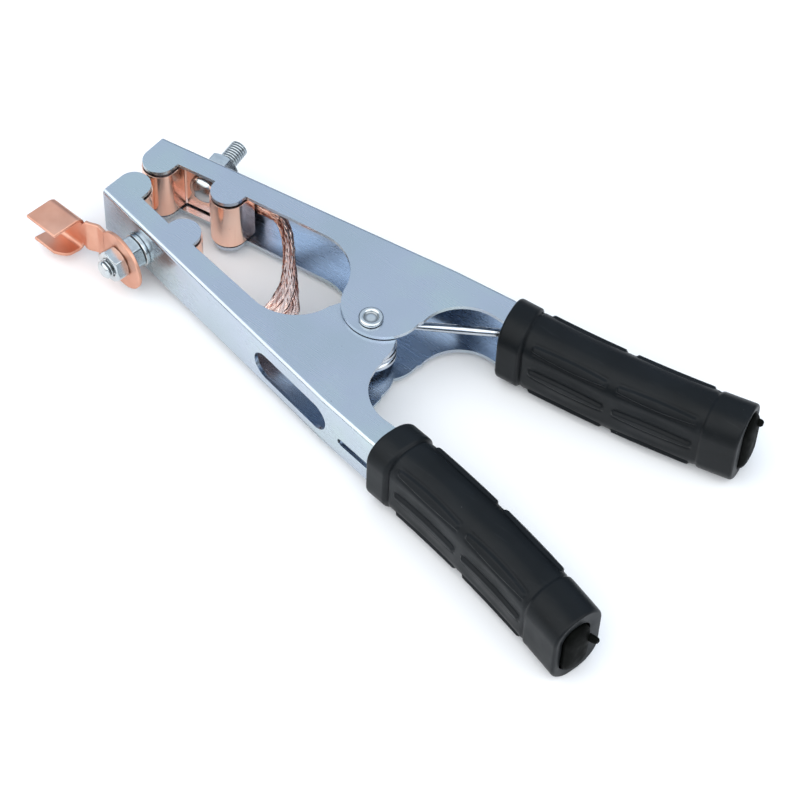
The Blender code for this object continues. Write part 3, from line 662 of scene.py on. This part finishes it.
def make_arm(word, side, height, material):
    bm = bmesh.new()
    rings = extrude_outline(bm, mirror_plan(arm_outline(), side), -height / 2, height / 2)
    round_fold(bm, rings, len(handle_edge(0)) + 1)
    arm = to_object("arm", bm)
    inside = height / 2 - SHEET
    hollow = prism("hollow", mirror_plan(hollow_outline(), side), -inside, inside)
    axle_hole = cylinder("axle_hole", RIVET_RADIUS + GAP, -height, height)
    bolt_hole = on_web(cylinder("bolt_hole", BOLT_RADIUS + GAP, -3 * SHEET, SHEET), side)
    cut(arm, hollow, axle_hole, web_slot(side), web_slit(side), bolt_hole)
    # The channel's inner faces are marked for painted shade.
    mark_channel_shade(stand_in(ease_edges(arm), f"{word}_arm", material), side, height)


# --- Jaw pads, terminals and lug ---

def thicken(path, thickness):
    """The closed outline of a strip that follows a path of plan points."""
    left, right = [], []
    for i, (x, y) in enumerate(path):
        before = path[max(i - 1, 0)]
        after = path[min(i + 1, len(path) - 1)]
        first = Vector((x - before[0], y - before[1]))
        second = Vector((after[0] - x, after[1] - y))
        first = (first if first.length > 0 else second).normalized()
        second = (second if second.length > 0 else first).normalized()
        normal = Vector((-(first.y + second.y), first.x + second.x)).normalized()
        reach = thickness / 2 / max(normal.dot(Vector((-first.y, first.x))), 0.5)
        left.append((x + normal.x * reach, y + normal.y * reach))
        right.append((x - normal.x * reach, y - normal.y * reach))
    return left + right[::-1]


def pad_path():
    inset = SHEET + GAP + STRAP_SHEET + GAP + PAD_SHEET / 2
    (front_x, front_y, front_r), (rear_x, rear_y, rear_r) = FRONT_LOBE, REAR_LOBE
    front_reach = front_r + PAD_PROUD - PAD_SHEET / 2
    rear_reach = rear_r + PAD_PROUD - PAD_SHEET / 2
    near, far = front_x + front_reach, rear_x - rear_reach
    path = [(front_x - front_reach, web_y(TIP_X, SHEET + GAP + 0.8 * MM))]
    path += arc((front_x, front_y), front_reach, 180, 360, 44)
    path += arc((near + PAD_BEND, web_y(near + PAD_BEND, inset) - PAD_BEND), PAD_BEND, 180, 95, 9)
    path += arc((far - PAD_BEND, web_y(far - PAD_BEND, inset) - PAD_BEND), PAD_BEND, 95, 0, 9)
    path += arc((rear_x, rear_y), rear_reach, 180, 360, 44)
    end_x = rear_x + rear_reach
    path.append((end_x, web_y(end_x, SHEET + GAP + STRAP_SHEET + 3 * GAP)))
    return path


def make_pad(word, side, height, material):
    half = height / 2 - SHEET - PAD_CLEARANCE
    pad = prism("pad", mirror_plan(thicken(pad_path(), PAD_SHEET), side), -half, half)
    cut(pad, on_web(cylinder("pad_hole", BOLT_RADIUS + GAP, -10 * SHEET, SHEET), side))
    stand_in(ease_edges(pad), f"{word}_jaw_pad", material)


def thread_radius(z, turn, low, high):
    """Radius of the stud at a height and an angle: a rolled thread that runs out at both ends."""
    phase = (z / THREAD_PITCH - turn / (2 * pi)) % 1.0
    groove = 1 - abs(2 * phase - 1)
    groove = smooth_step(groove, 0.12, 0.88)
    fade = smooth_step(z, low, low + THREAD_PITCH) * (1 - smooth_step(z, high - 0.3 * MM, high))
    return BOLT_RADIUS - THREAD_DEPTH * groove * fade


def make_bolt(word, side, material):
    """Bolt with a round head inside the jaw, a rolled thread and a chamfered end."""
    seat = -(SHEET + GAP + STRAP_SHEET + GAP + PAD_SHEET + GAP)
    reach = BOLT_REACH[word]
    chamfer, head_rim = 0.6 * MM, 0.35 * MM
    low, high = -SHEET, reach - chamfer
    head = []
    for t in (80, 66, 52, 40, 28, 16, 6, 0):
        drop = head_rim + (BOLT_HEAD_HEIGHT - head_rim) * sin(radians(t))
        head.append((BOLT_HEAD_RADIUS * cos(radians(t)), seat - drop))
    head += [(BOLT_HEAD_RADIUS, seat - 0.1 * MM), (BOLT_HEAD_RADIUS - 0.12 * MM, seat)]
    head.append((BOLT_RADIUS, seat))
    end_radius = BOLT_RADIUS - chamfer
    end = [(end_radius, reach - 0.08 * MM), (end_radius - 0.12 * MM, reach)]
    steps = 56
    rings = [hoop(radius, z, steps) for radius, z in head]
    count = int((high - low) / (0.1 * MM))
    for i in range(count + 1):
        z = low + (high - low) * i / count
        around = [(thread_radius(z, t, low, high), t) for t in full_turn(steps)]
        rings.append([(radius * cos(t), radius * sin(t), z) for radius, t in around])
    rings += [hoop(radius, z, steps) for radius, z in end]
    bm = bmesh.new()
    skin(bm, rings)
    # Painted shade: the thread's roots are marked to be darkened by the fastener material.
    layer = bm.verts.layers.float.new("groove")
    for vert in bm.verts:
        depth = BOLT_RADIUS - hypot(vert.co.x, vert.co.y)
        if low < vert.co.z < high:
            vert[layer] = 0.9 * smooth_step(depth, 0.25 * THREAD_DEPTH, THREAD_DEPTH)
    stand_in(on_web(to_object("bolt", bm), side), f"{word}_terminal_bolt", material, sharp=50)


def make_nut(name, side, low, height, material, turn):
    """A hexagon nut whose corners are cut back by a cone at both ends, with a countersunk bore."""
    apothem = NUT_FLATS / 2
    chamfer_from, chamfer_slope, corner_limit = 0.94 * apothem, 0.55, 1.135 * apothem
    rings = []
    for a in full_turn(96):
        corner = min(apothem / cos((a + pi / 6) % (pi / 3) - pi / 6), corner_limit)
        drop = (corner - chamfer_from) * chamfer_slope
        profile = [(NUT_BORE, NUT_COUNTERSINK), (NUT_BORE + NUT_COUNTERSINK, 0)]
        profile += [(chamfer_from, 0), (corner, drop)]
        whole = profile + [(r, height - z) for r, z in profile[::-1]]
        around = a + radians(turn) + pi / 6
        rings.append([(r * cos(around), r * sin(around), low + z) for r, z in whole])
    nut = ease_edges(skinned("nut", rings, closed_tube=True), 0.1 * MM, 2, 24)
    stand_in(on_web(nut, side), name, material, sharp=28)


def make_washer(word, side, material):
    washer = pipe("washer", BOLT_RADIUS + GAP, WASHER_RADIUS, SEAT_GAP, GAP + WASHER_SHEET, 80)
    washer = on_web(ease_edges(washer, 0.22 * MM, 3), side)
    stand_in(washer, f"{word}_terminal_washer", material)


def make_eyelet(word, side, material):
    """The braid's pressed end: a flat tab with a rounded front and a hole for the bolt."""
    low = -(SHEET + GAP + STRAP_SHEET)
    half = STRAP_WIDTH / 2
    outline = arc((0, 0), half, -90, 90, 32)
    outline += [(half - EYELET_LENGTH, half), (half - EYELET_LENGTH, -half)]
    eyelet = prism("eyelet", outline, low, low + STRAP_SHEET)
    cut(eyelet, cylinder("eyelet_hole", BOLT_RADIUS + GAP, low - MM, MM))
    ease_edges(eyelet, 0.3 * MM, 3)
    stand_in(on_web(eyelet, side), f"{word}_braid_eyelet", material)


def lug_rows():
    """Mid-surface of the lug: rows of points across it, from the eye's edge to the barrel's end."""
    floor = BARREL_WIDTH / 2 - BARREL_BEND
    bend_turns = [pi / 16 * i for i in range(9)]
    half_u = [(floor + BARREL_BEND * sin(t), BARREL_BEND * (1 - cos(t))) for t in bend_turns]
    outer = half_u[-1][0]
    middle = LUG_SHEET / 2
    half = LUG_NECK_WIDTH / 2
    neck = [(LUG_EYE_RADIUS * cos(LUG_NECK_ANGLE), LUG_EYE_RADIUS * sin(LUG_NECK_ANGLE), middle)]
    for i in range(9):
        share = i / 8
        x = LUG_STEP_START + (LUG_STEP_END - LUG_STEP_START) * share
        neck.append((x, half, middle + LUG_STEP * smooth_step(share, 0, 1)))
    rows = [[(x, -reach, z), (x, reach, z)] for x, reach, z in neck]
    for share in (0.0, 0.06, 0.16, 0.30, 0.65, 1.0):
        rounded = 0.45 + 0.55 * sqrt(min(1.0, share / 0.30))
        upper, lower = WING_LENGTH, (WING_LENGTH - WING_SHORT) * rounded
        section = [(-outer - upper * sin(WING_FLARE), BARREL_BEND + upper)]
        section += [(-y, z) for y, z in half_u[::-1]] + half_u
        section.append((outer + lower * sin(WING_FLARE), BARREL_BEND + lower))
        lift = middle + LUG_STEP + BARREL_RISE * share
        x = BARREL_NEAR + BARREL_LENGTH * share
        rows.append([(x, y + BARREL_DROP, lift + z) for y, z in section])
    return rows


def make_lug(material, seat):
    bm = bmesh.new()
    rows = [[bm.verts.new((x, y, z + seat)) for x, y, z in row] for row in lug_rows()]
    turns = degrees(LUG_NECK_ANGLE)
    rim = arc((0, 0), LUG_EYE_RADIUS, turns, 360 - turns, 72)[1:-1]
    disc = [bm.verts.new((x, y, seat + LUG_SHEET / 2)) for x, y in rim]
    bm.faces.new([rows[0][1]] + disc + [rows[0][0]])
    for near, far in zip(rows, rows[1:]):
        skip = (len(far) - len(near)) // 2
        inner = far[skip:len(far) - skip]
        for i in range(len(near) - 1):
            bm.faces.new((near[i], inner[i], inner[i + 1], near[i + 1]))
    lug = to_object("lug", bm)
    solidify = lug.modifiers.new("sheet", "SOLIDIFY")
    solidify.thickness, solidify.offset, solidify.use_even_offset = LUG_SHEET, 0, True
    bake(lug)
    cut(lug, cylinder("lug_hole", BOLT_RADIUS + GAP, seat - MM, seat + LUG_SHEET + MM))
    ease_edges(lug, 0.28 * MM, 3)
    stand_in(on_web(lug, -1), "cable_lug", material)


# --- Hinge ---

def make_rivet(material):
    """Rivet with a rolled rim round a shallow dished recess at each end."""
    top = OUTER_HEIGHT / 2 + GAP
    rim = top + RIVET_HEAD_HEIGHT
    roll = (RIVET_HEAD_RADIUS - RIVET_RECESS_RADIUS) / 2
    middle = RIVET_RECESS_RADIUS + roll
    crown = arc((0, 0), 1.0, 0, 180, 18)
    upper = [(RIVET_RADIUS, top), (RIVET_HEAD_RADIUS - 0.15 * MM, top)]
    upper += [(middle + roll * c, rim - 0.75 * MM * (1 - s)) for c, s in crown]
    floor = rim - RIVET_RECESS_DEPTH
    upper += [(radius, floor + rise) for radius, rise in RIVET_DISH]
    lower = [(r, -z) for r, z in upper[::-1]]
    bm = bmesh.new()
    skin(bm, [hoop(radius, z, 72) for radius, z in lower + upper])
    # Painted shade round the corner of the recess, through the groove mark.
    layer = bm.verts.layers.float.new("groove")
    for vert in bm.verts:
        from_corner = abs(hypot(vert.co.x, vert.co.y) - RIVET_SHADE_RADIUS)
        vert[layer] = RIVET_SHADE_STRENGTH * (1 - smooth_step(from_corner, 0.1 * MM, 0.5 * MM))
    stand_in(to_object("rivet", bm), "pivot_rivet", material, sharp=50)


def make_bush(material):
    reach = INNER_HEIGHT / 2 - SHEET - GAP
    bush = pipe("bush", RIVET_RADIUS + GAP, BUSH_RADIUS, -reach, reach, 64)
    stand_in(ease_edges(bush, 0.25 * MM, 3), "pivot_bush", material)


def leg_end_y():
    return handle_y(LEG_END_X) + HANDLE_HALF_WIDTH - SHEET - GAP - WIRE_RADIUS


def tangent_angle(side):
    """Angle on the coil where a straight line to the leg's end leaves it without a kink."""
    bearing = atan2(side * leg_end_y(), LEG_END_X)
    return bearing + side * (pi / 2 - atan2(COIL_RADIUS, hypot(LEG_END_X, leg_end_y())))


def spring_path():
    start, end = tangent_angle(-1), tangent_angle(1)
    sweep = -(2 * pi * round(COIL_TURNS) + (start - end) % (2 * pi))
    count = int(abs(sweep) / radians(6))
    rise = COIL_PITCH * abs(sweep) / (2 * pi)
    coil = []
    for i in range(count + 1):
        t = start + sweep * i / count
        place = (COIL_RADIUS * cos(t), COIL_RADIUS * sin(t), COIL_LOW_Z + rise * i / count)
        coil.append(Vector(place))
    legs = []
    for side, place in ((-1, coil[0]), (1, coil[-1])):
        far = Vector((LEG_END_X, side * leg_end_y(), place.z))
        legs.append([place.lerp(far, t) for t in (0.04, 0.12, 0.3, 0.5, 0.75, 0.985, 1.0)])
    return legs[0][::-1] + coil + legs[1]


def tube_rings(path, radius, sides, trim=0.0):
    """Rings square to a path, carried along it without twist. Trim rounds off both cut ends."""
    rings = []
    normal = Vector((0, 0, 1))
    for i, place in enumerate(path):
        along = (path[min(i + 1, len(path) - 1)] - path[max(i - 1, 0)]).normalized()
        normal = (normal - along * normal.dot(along)).normalized()
        side = along.cross(normal)
        size = radius - (trim if i in (0, len(path) - 1) else 0)
        rings.append([place + size * (cos(t) * normal + sin(t) * side) for t in full_turn(sides)])
    return rings


def make_spring(material):
    wire = skinned("spring", tube_rings(spring_path(), WIRE_RADIUS, 20, trim=0.3 * MM))
    spring = stand_in(wire, "torsion_spring", material, sharp=50, soft=True)
    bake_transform(spring)


# --- Braid ---

def strap_stations():
    """Route of the braid in mm and degrees: x, y, z, width, thickness and the width's tilt."""
    eyelet_run = EYELET_LENGTH - STRAP_WIDTH / 2 + GAP
    inset = SHEET + GAP + STRAP_SHEET / 2
    start_x = (BOLT_X + eyelet_run * cos(WEB_ANGLE) + inset * sin(WEB_ANGLE)) / MM
    start_y = web_y(start_x * MM, inset) / MM
    high = BOLT_Z / MM
    return [
        (start_x, start_y, high, 10.6, 1.8, 0),
        (-64.0, web_y(-64 * MM, inset) / MM, 2.2, 8.0, 1.8, 0),
        (-58.0, web_y(-58 * MM, inset) / MM - 0.4, 2.6, 5.4, 2.0, 0),
        (-52.0, 17.6, 3.0, 3.9, 3.3, 20),
        (-47.4, 15.4, 3.0, 3.7, 3.5, 40),
        (-42.8, 11.6, 2.8, 3.7, 3.5, 55),
        (-38.0, 6.6, 2.5, 4.0, 3.3, 70),
        (-33.4, 1.2, 2.2, 5.2, 2.9, 82),
        (-29.6, -4.4, 1.9, 7.8, 2.4, 88),
        (-27.2, -9.6, 1.5, 10.8, 1.9, 88),
        (-27.6, -15.6, 0.9, 11.2, 1.8, 66),
        (-32.4, -20.2, 0.0, 11.0, 1.8, 28),
        (-41.0, -web_y(-41 * MM, inset) / MM + 0.4, -1.2, 11.0, 1.8, 4),
        (-52.0, -web_y(-52 * MM, inset) / MM, -high, 11.0, 1.8, 0),
        (start_x, -start_y, -high, 10.6, 1.8, 0),
    ]


def rounded_section(half_width, half_height, corner, steps):
    corner = min(corner, 0.94 * half_width, 0.94 * half_height)
    points = []
    for quarter, (sx, sy) in enumerate(((1, 1), (-1, 1), (-1, -1), (1, -1))):
        centre = (sx * (half_width - corner), sy * (half_height - corner))
        points += arc(centre, corner, 90 * quarter, 90 * quarter + 90, steps)
    return points


def outline_at(points, share):
    """The point at a share of the way round a closed outline."""
    lengths = [hypot(b[0] - a[0], b[1] - a[1]) for a, b in zip(points, points[1:] + points[:1])]
    left = (share % 1.0) * sum(lengths)
    for i, length in enumerate(lengths):
        if left <= length and length > 0:
            a, b = points[i], points[(i + 1) % len(points)]
            t = left / length
            return a[0] + (b[0] - a[0]) * t, a[1] + (b[1] - a[1]) * t
        left -= length
    return points[0]


def braid_frames(steps=9):
    """Along the route: centre, directions of width and thickness, half sizes and the run so far."""
    stations = catmull(strap_stations(), steps)
    frames = []
    run = 0.0
    for i, (x, y, z, width, thickness, tilt) in enumerate(stations):
        before, after = stations[max(i - 1, 0)], stations[min(i + 1, len(stations) - 1)]
        along = Vector((after[0] - before[0], after[1] - before[1], 0)).normalized()
        across = Vector((-along.y, along.x, 0))
        turn = radians(tilt)
        wide = Vector((0, 0, cos(turn))) + sin(turn) * across
        thin = -sin(turn) * Vector((0, 0, 1)) + cos(turn) * across
        centre = Vector((x, y, z)) * MM
        if frames:
            run += (centre - frames[-1][0]).length
        frames.append((centre, wide, thin, width * MM / 2, thickness * MM / 2, run))
    return frames


def wire_path(frames, outlines, share, direction, rank):
    """One wire: it winds slowly round the strap, and sinks inside where the strap is drawn in."""
    path = []
    for (centre, wide, thin, half_width, _, run), outline in zip(frames, outlines):
        u, v = outline_at(outline, share + direction * run / BRAID_LAY)
        squeeze = 1 - smooth_step(half_width, 2.0 * MM, 4.4 * MM)
        turns = CARRIERS * (run / BRAID_LAY + direction * share / 2)
        wave = direction * BRAID_LIFT * cos(2 * pi * turns)
        wander = BRAID_WANDER * noise.noise(Vector((share * 40, run * 260, direction)))
        out = wave + wander - rank * BRAID_SINK * squeeze
        reach = max(hypot(u, v), 1e-9)
        path.append(centre + wide * u * (1 + out / reach) + thin * v * (1 + out / reach))
    return path


def add_tube(bm, layer, rings, tone):
    known = len(bm.verts)
    skin(bm, rings)
    bm.verts.ensure_lookup_table()
    for vert in bm.verts[known:]:
        vert[layer] = tone


def make_braid(material):
    frames = braid_frames()
    outlines = []
    for _, _, _, half_width, half_thick, _ in frames:
        outlines.append(rounded_section(half_width - WIRE, half_thick - WIRE, half_thick - WIRE, 6))
    bm = bmesh.new()
    layer = bm.verts.layers.float.new("tone")
    core = []
    for centre, wide, thin, half_width, half_thick, _ in frames:
        inset = BRAID_CORE_INSET
        section = rounded_section(half_width - inset, half_thick - inset, half_thick, 5)
        core.append([centre + wide * u + thin * v for u, v in section])
    # Painted shade: the core takes tone 0, the darkest colour, and shows only between the wires.
    add_tube(bm, layer, core, 0.0)
    for direction in (1, -1):
        for carrier in range(CARRIERS):
            for rank in range(WIRES_EACH):
                share = (carrier + 0.24 * (rank - 1.5)) / CARRIERS
                path = wire_path(frames, outlines, share, direction, rank)
                drift = noise.noise(Vector((carrier * 3.7, rank * 5.3, direction * 9.1)))
                tone = max(0.05, min(1.0, 0.78 + 1.7 * drift))
                add_tube(bm, layer, tube_rings(path, WIRE, 6), tone)
    braid = stand_in(to_object("braid", bm), "braid", material, sharp=60, soft=True)
    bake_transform(braid)


# --- Grips ---

def handle_place(x, side, u, v, slope=None, shift=0.0):
    """A point at u across and v up on a section that stands at x on the handle."""
    if slope is None:
        slope = HANDLE_SLOPE + 2 * HANDLE_CURVE * (x - HANDLE_START_X)
    along = Vector((1, side * slope, 0)).normalized()
    across = Vector((-along.y, along.x, 0))
    centre = Vector((x, side * handle_y(x), 0)) - side * shift * across
    return centre + across * u + Vector((0, 0, v))


def even_outline(half_width, half_height, corner, count=AROUND):
    """Evenly spaced points of a rounded rectangle: each one's place, normal and way round to it."""
    flat_side, flat_top, bend = half_height - corner, half_width - corner, corner * pi / 2
    whole = 4 * (flat_side + flat_top + bend)
    points = []
    for i in range(count):
        s = whole * i / count
        half = whole / 2
        turned_round = s >= half
        s %= half
        if s < flat_side:
            place, normal = (half_width, s), 0.0
        elif s < flat_side + bend:
            normal = (s - flat_side) / corner
            place = (flat_top + corner * cos(normal), flat_side + corner * sin(normal))
        elif s < flat_side + bend + 2 * flat_top:
            place, normal = (flat_top - (s - flat_side - bend), half_height), pi / 2
        elif s < flat_side + 2 * bend + 2 * flat_top:
            normal = pi / 2 + (s - flat_side - bend - 2 * flat_top) / corner
            place = (-flat_top + corner * cos(normal), flat_side + corner * sin(normal))
        else:
            place, normal = (-half_width, half - s), pi
        if turned_round:
            place, normal = (-place[0], -place[1]), normal + pi
        points.append((place, (cos(normal), sin(normal)), whole * i / count))
    return points, whole


def dent(offset, width):
    """A soft furrow, 1 deep in its middle."""
    return exp(-(offset / width) ** 2)


def grip_growth(x, span):
    """How far the grip stands out at a place along it: collars, creases and round lips."""
    front, collar, end = span
    step = front + FRONT_COLLAR_LENGTH
    growth = GRIP_SKIN
    growth += FRONT_COLLAR * (1 - smooth_step(x, step - 0.8 * MM, step))
    growth -= FRONT_CREASE * dent(x - step - 0.3 * MM, 0.35 * MM)
    growth += END_COLLAR * smooth_step(x, collar - 0.2 * MM, collar + 0.6 * MM)
    growth -= END_CREASE * dent(x - collar + 0.5 * MM, 0.4 * MM)
    for inside in (x - front, end - x):
        if inside < GRIP_LIP:
            growth -= GRIP_LIP * (1 - sqrt(max(0.0, 1 - (1 - inside / GRIP_LIP) ** 2)))
    return growth


def rib_height(x, s, whole, span):
    """Six rows of two narrow ribs, creased at the foot, and shallow flutes between the rows."""
    front, collar, _ = span
    body_start, body_end = front + 11.2 * MM, collar - 2.2 * MM
    middle = (body_start + body_end) / 2
    half = whole / 2
    across = (s + half / 2) % half - half / 2
    height = 0.0
    for start, end in ((body_start, middle - 1.5 * MM), (middle + 1.5 * MM, body_end)):
        inside = min(x - start, end - x)
        if inside <= -0.8 * MM:
            continue
        share = max(0.0, min(1.0, (x - start) / (end - start)))
        blunt = smooth_step(inside, -0.1 * MM, 0.6 * MM)
        reach = (0.75 + 0.55 * sin(pi * share)) * MM
        for row in RIB_ROWS:
            off = abs(across - row)
            rib = 1 - smooth_step(off, reach - 0.3 * MM, reach + 0.35 * MM)
            height += RIB_HEIGHT * blunt * rib
            height -= RIB_CREASE * dent(off - reach - 0.75 * MM, 0.42 * MM) * blunt
        for row in FLUTE_ROWS:
            height -= FLUTE_DEPTH * dent(across - row, 1.9 * MM) * sin(pi * share) * blunt
    return height


def grip_stations(span):
    front, _, end = span
    lip_steps = [0.0, 0.03, 0.12, 0.28, 0.5, 0.75]
    count = int((end - front - 2 * MM) / (0.42 * MM))
    middle = [front + MM + (end - front - 2 * MM) * i / count for i in range(count + 1)]
    return [front + t * MM for t in lip_steps] + middle + [end - t * MM for t in lip_steps[::-1]]


def bore_ring(x, side, half_width, half_height, corner, slope=None):
    points, _ = even_outline(half_width, half_height, corner)
    return [handle_place(x, side, u, v, slope) for (u, v), _, _ in points]


def make_grip(word, side, height, material):
    span = GRIP_SPAN[word]
    front, _, end = span
    points, whole = even_outline(GRIP_HALF_WIDTH, GRIP_HALF_HEIGHT, GRIP_CORNER)
    rings = []
    for x in grip_stations(span):
        growth = grip_growth(x, span)
        ring = []
        for (u, v), (across, up), s in points:
            out = growth + rib_height(x, s, whole, span)
            grown = u + across * out, v + up * out * 0.75
            ring.append(handle_place(x, side, *grown, GRIP_SLOPE, GRIP_INWARD))
        rings.append(ring)
    width, reach = HANDLE_HALF_WIDTH + GAP, height / 2 + GAP
    last, mouth, oval = HANDLE_END_X + 1.4 * MM, 0.3 * MM, 0.97 * width
    rings.append(bore_ring(end, side, width + mouth, reach + mouth, oval, GRIP_SLOPE))
    rings.append(bore_ring(end - 0.4 * MM, side, width, reach, oval, GRIP_SLOPE))
    rings.append(bore_ring(last + 1.2 * MM, side, width, reach, oval))
    for i in range(8, -1, -1):
        x = front + 0.4 * MM + (last - front) * i / 8
        rings.append(bore_ring(x, side, width, reach, 0.3 * MM))
    rings.append(bore_ring(front, side, width + mouth, reach + mouth, 0.5 * MM, GRIP_SLOPE))
    stand_in(skinned("grip", rings, closed_tube=True), f"{word}_grip", material, sharp=60)


def make_plug(word, side, height, material):
    """Domed plug in the grip's open end, with the small tab left on it by its mould."""
    end = GRIP_SPAN[word][2]
    half_width, half_height = HANDLE_HALF_WIDTH - 0.05 * MM, height / 2
    shape = [(HANDLE_END_X + 3.6 * MM, 0.96), (end - 0.5 * MM, 1.0), (end + 0.1 * MM, 1.0)]
    for i in range(1, 11):
        t = pi / 2 * i / 10.6
        shape.append((end + 0.1 * MM + PLUG_DOME * sin(t), cos(t) ** 0.55))
    rings = []
    for x, scale in shape:
        wide, tall = half_width * scale, half_height * scale
        points, _ = even_outline(wide, tall, 0.97 * wide, 96)
        rings.append([handle_place(x, side, u, v, GRIP_SLOPE) for (u, v), _, _ in points])
    plug = skinned("plug", rings)
    u, v, reach, lean = PLUG_TAB[word]
    profile = ((0.0, 1.1), (reach - MM, 1.1), (reach - 0.4 * MM, 0.95), (reach, 0.6))
    tab_rings = []
    for out, radius in profile:
        wide, tall = radius * MM, 1.3 * radius * MM
        section = [(u + lean * out + wide * cos(t), v + tall * sin(t)) for t in full_turn(24)]
        x = end + out
        tab_rings.append([handle_place(x, side, across, up, GRIP_SLOPE) for across, up in section])
    cut(plug, skinned("tab", tab_rings), operation="UNION")
    stand_in(plug, f"{word}_grip_plug", material, sharp=40)


# --- Assembly ---

def build():
    add_camera()
    add_studio()
    add_floor(floor_paint())
    zinc, fastener, copper = zinc_sheet(), bright_zinc(), copper_strip()
    braid, vinyl, rubber = braid_copper(), grip_vinyl(), plug_rubber()
    nut_seat = GAP + WASHER_SHEET + SEAT_GAP
    lug_seat = 3 * GAP + WASHER_SHEET + NUT_HEIGHT
    lug_nut_seat = lug_seat + LUG_SHEET + SEAT_GAP
    for word, side, height in (("inner", -1, INNER_HEIGHT), ("outer", 1, OUTER_HEIGHT)):
        make_arm(word, side, height, zinc)
        make_pad(word, side, height, copper)
        make_bolt(word, side, fastener)
        make_washer(word, side, fastener)
        make_nut(f"{word}_terminal_nut", side, nut_seat, NUT_HEIGHT + GAP, fastener, turn=-4)
        make_eyelet(word, side, braid)
        make_grip(word, side, height, vinyl)
        make_plug(word, side, height, rubber)
    make_lug(lug_copper(), lug_seat)
    make_nut("lug_nut", -1, lug_nut_seat, LUG_NUT_HEIGHT + GAP, fastener, turn=-10)
    make_rivet(fastener)
    make_bush(zinc)
    make_spring(spring_steel())
    make_braid(braid)


build()
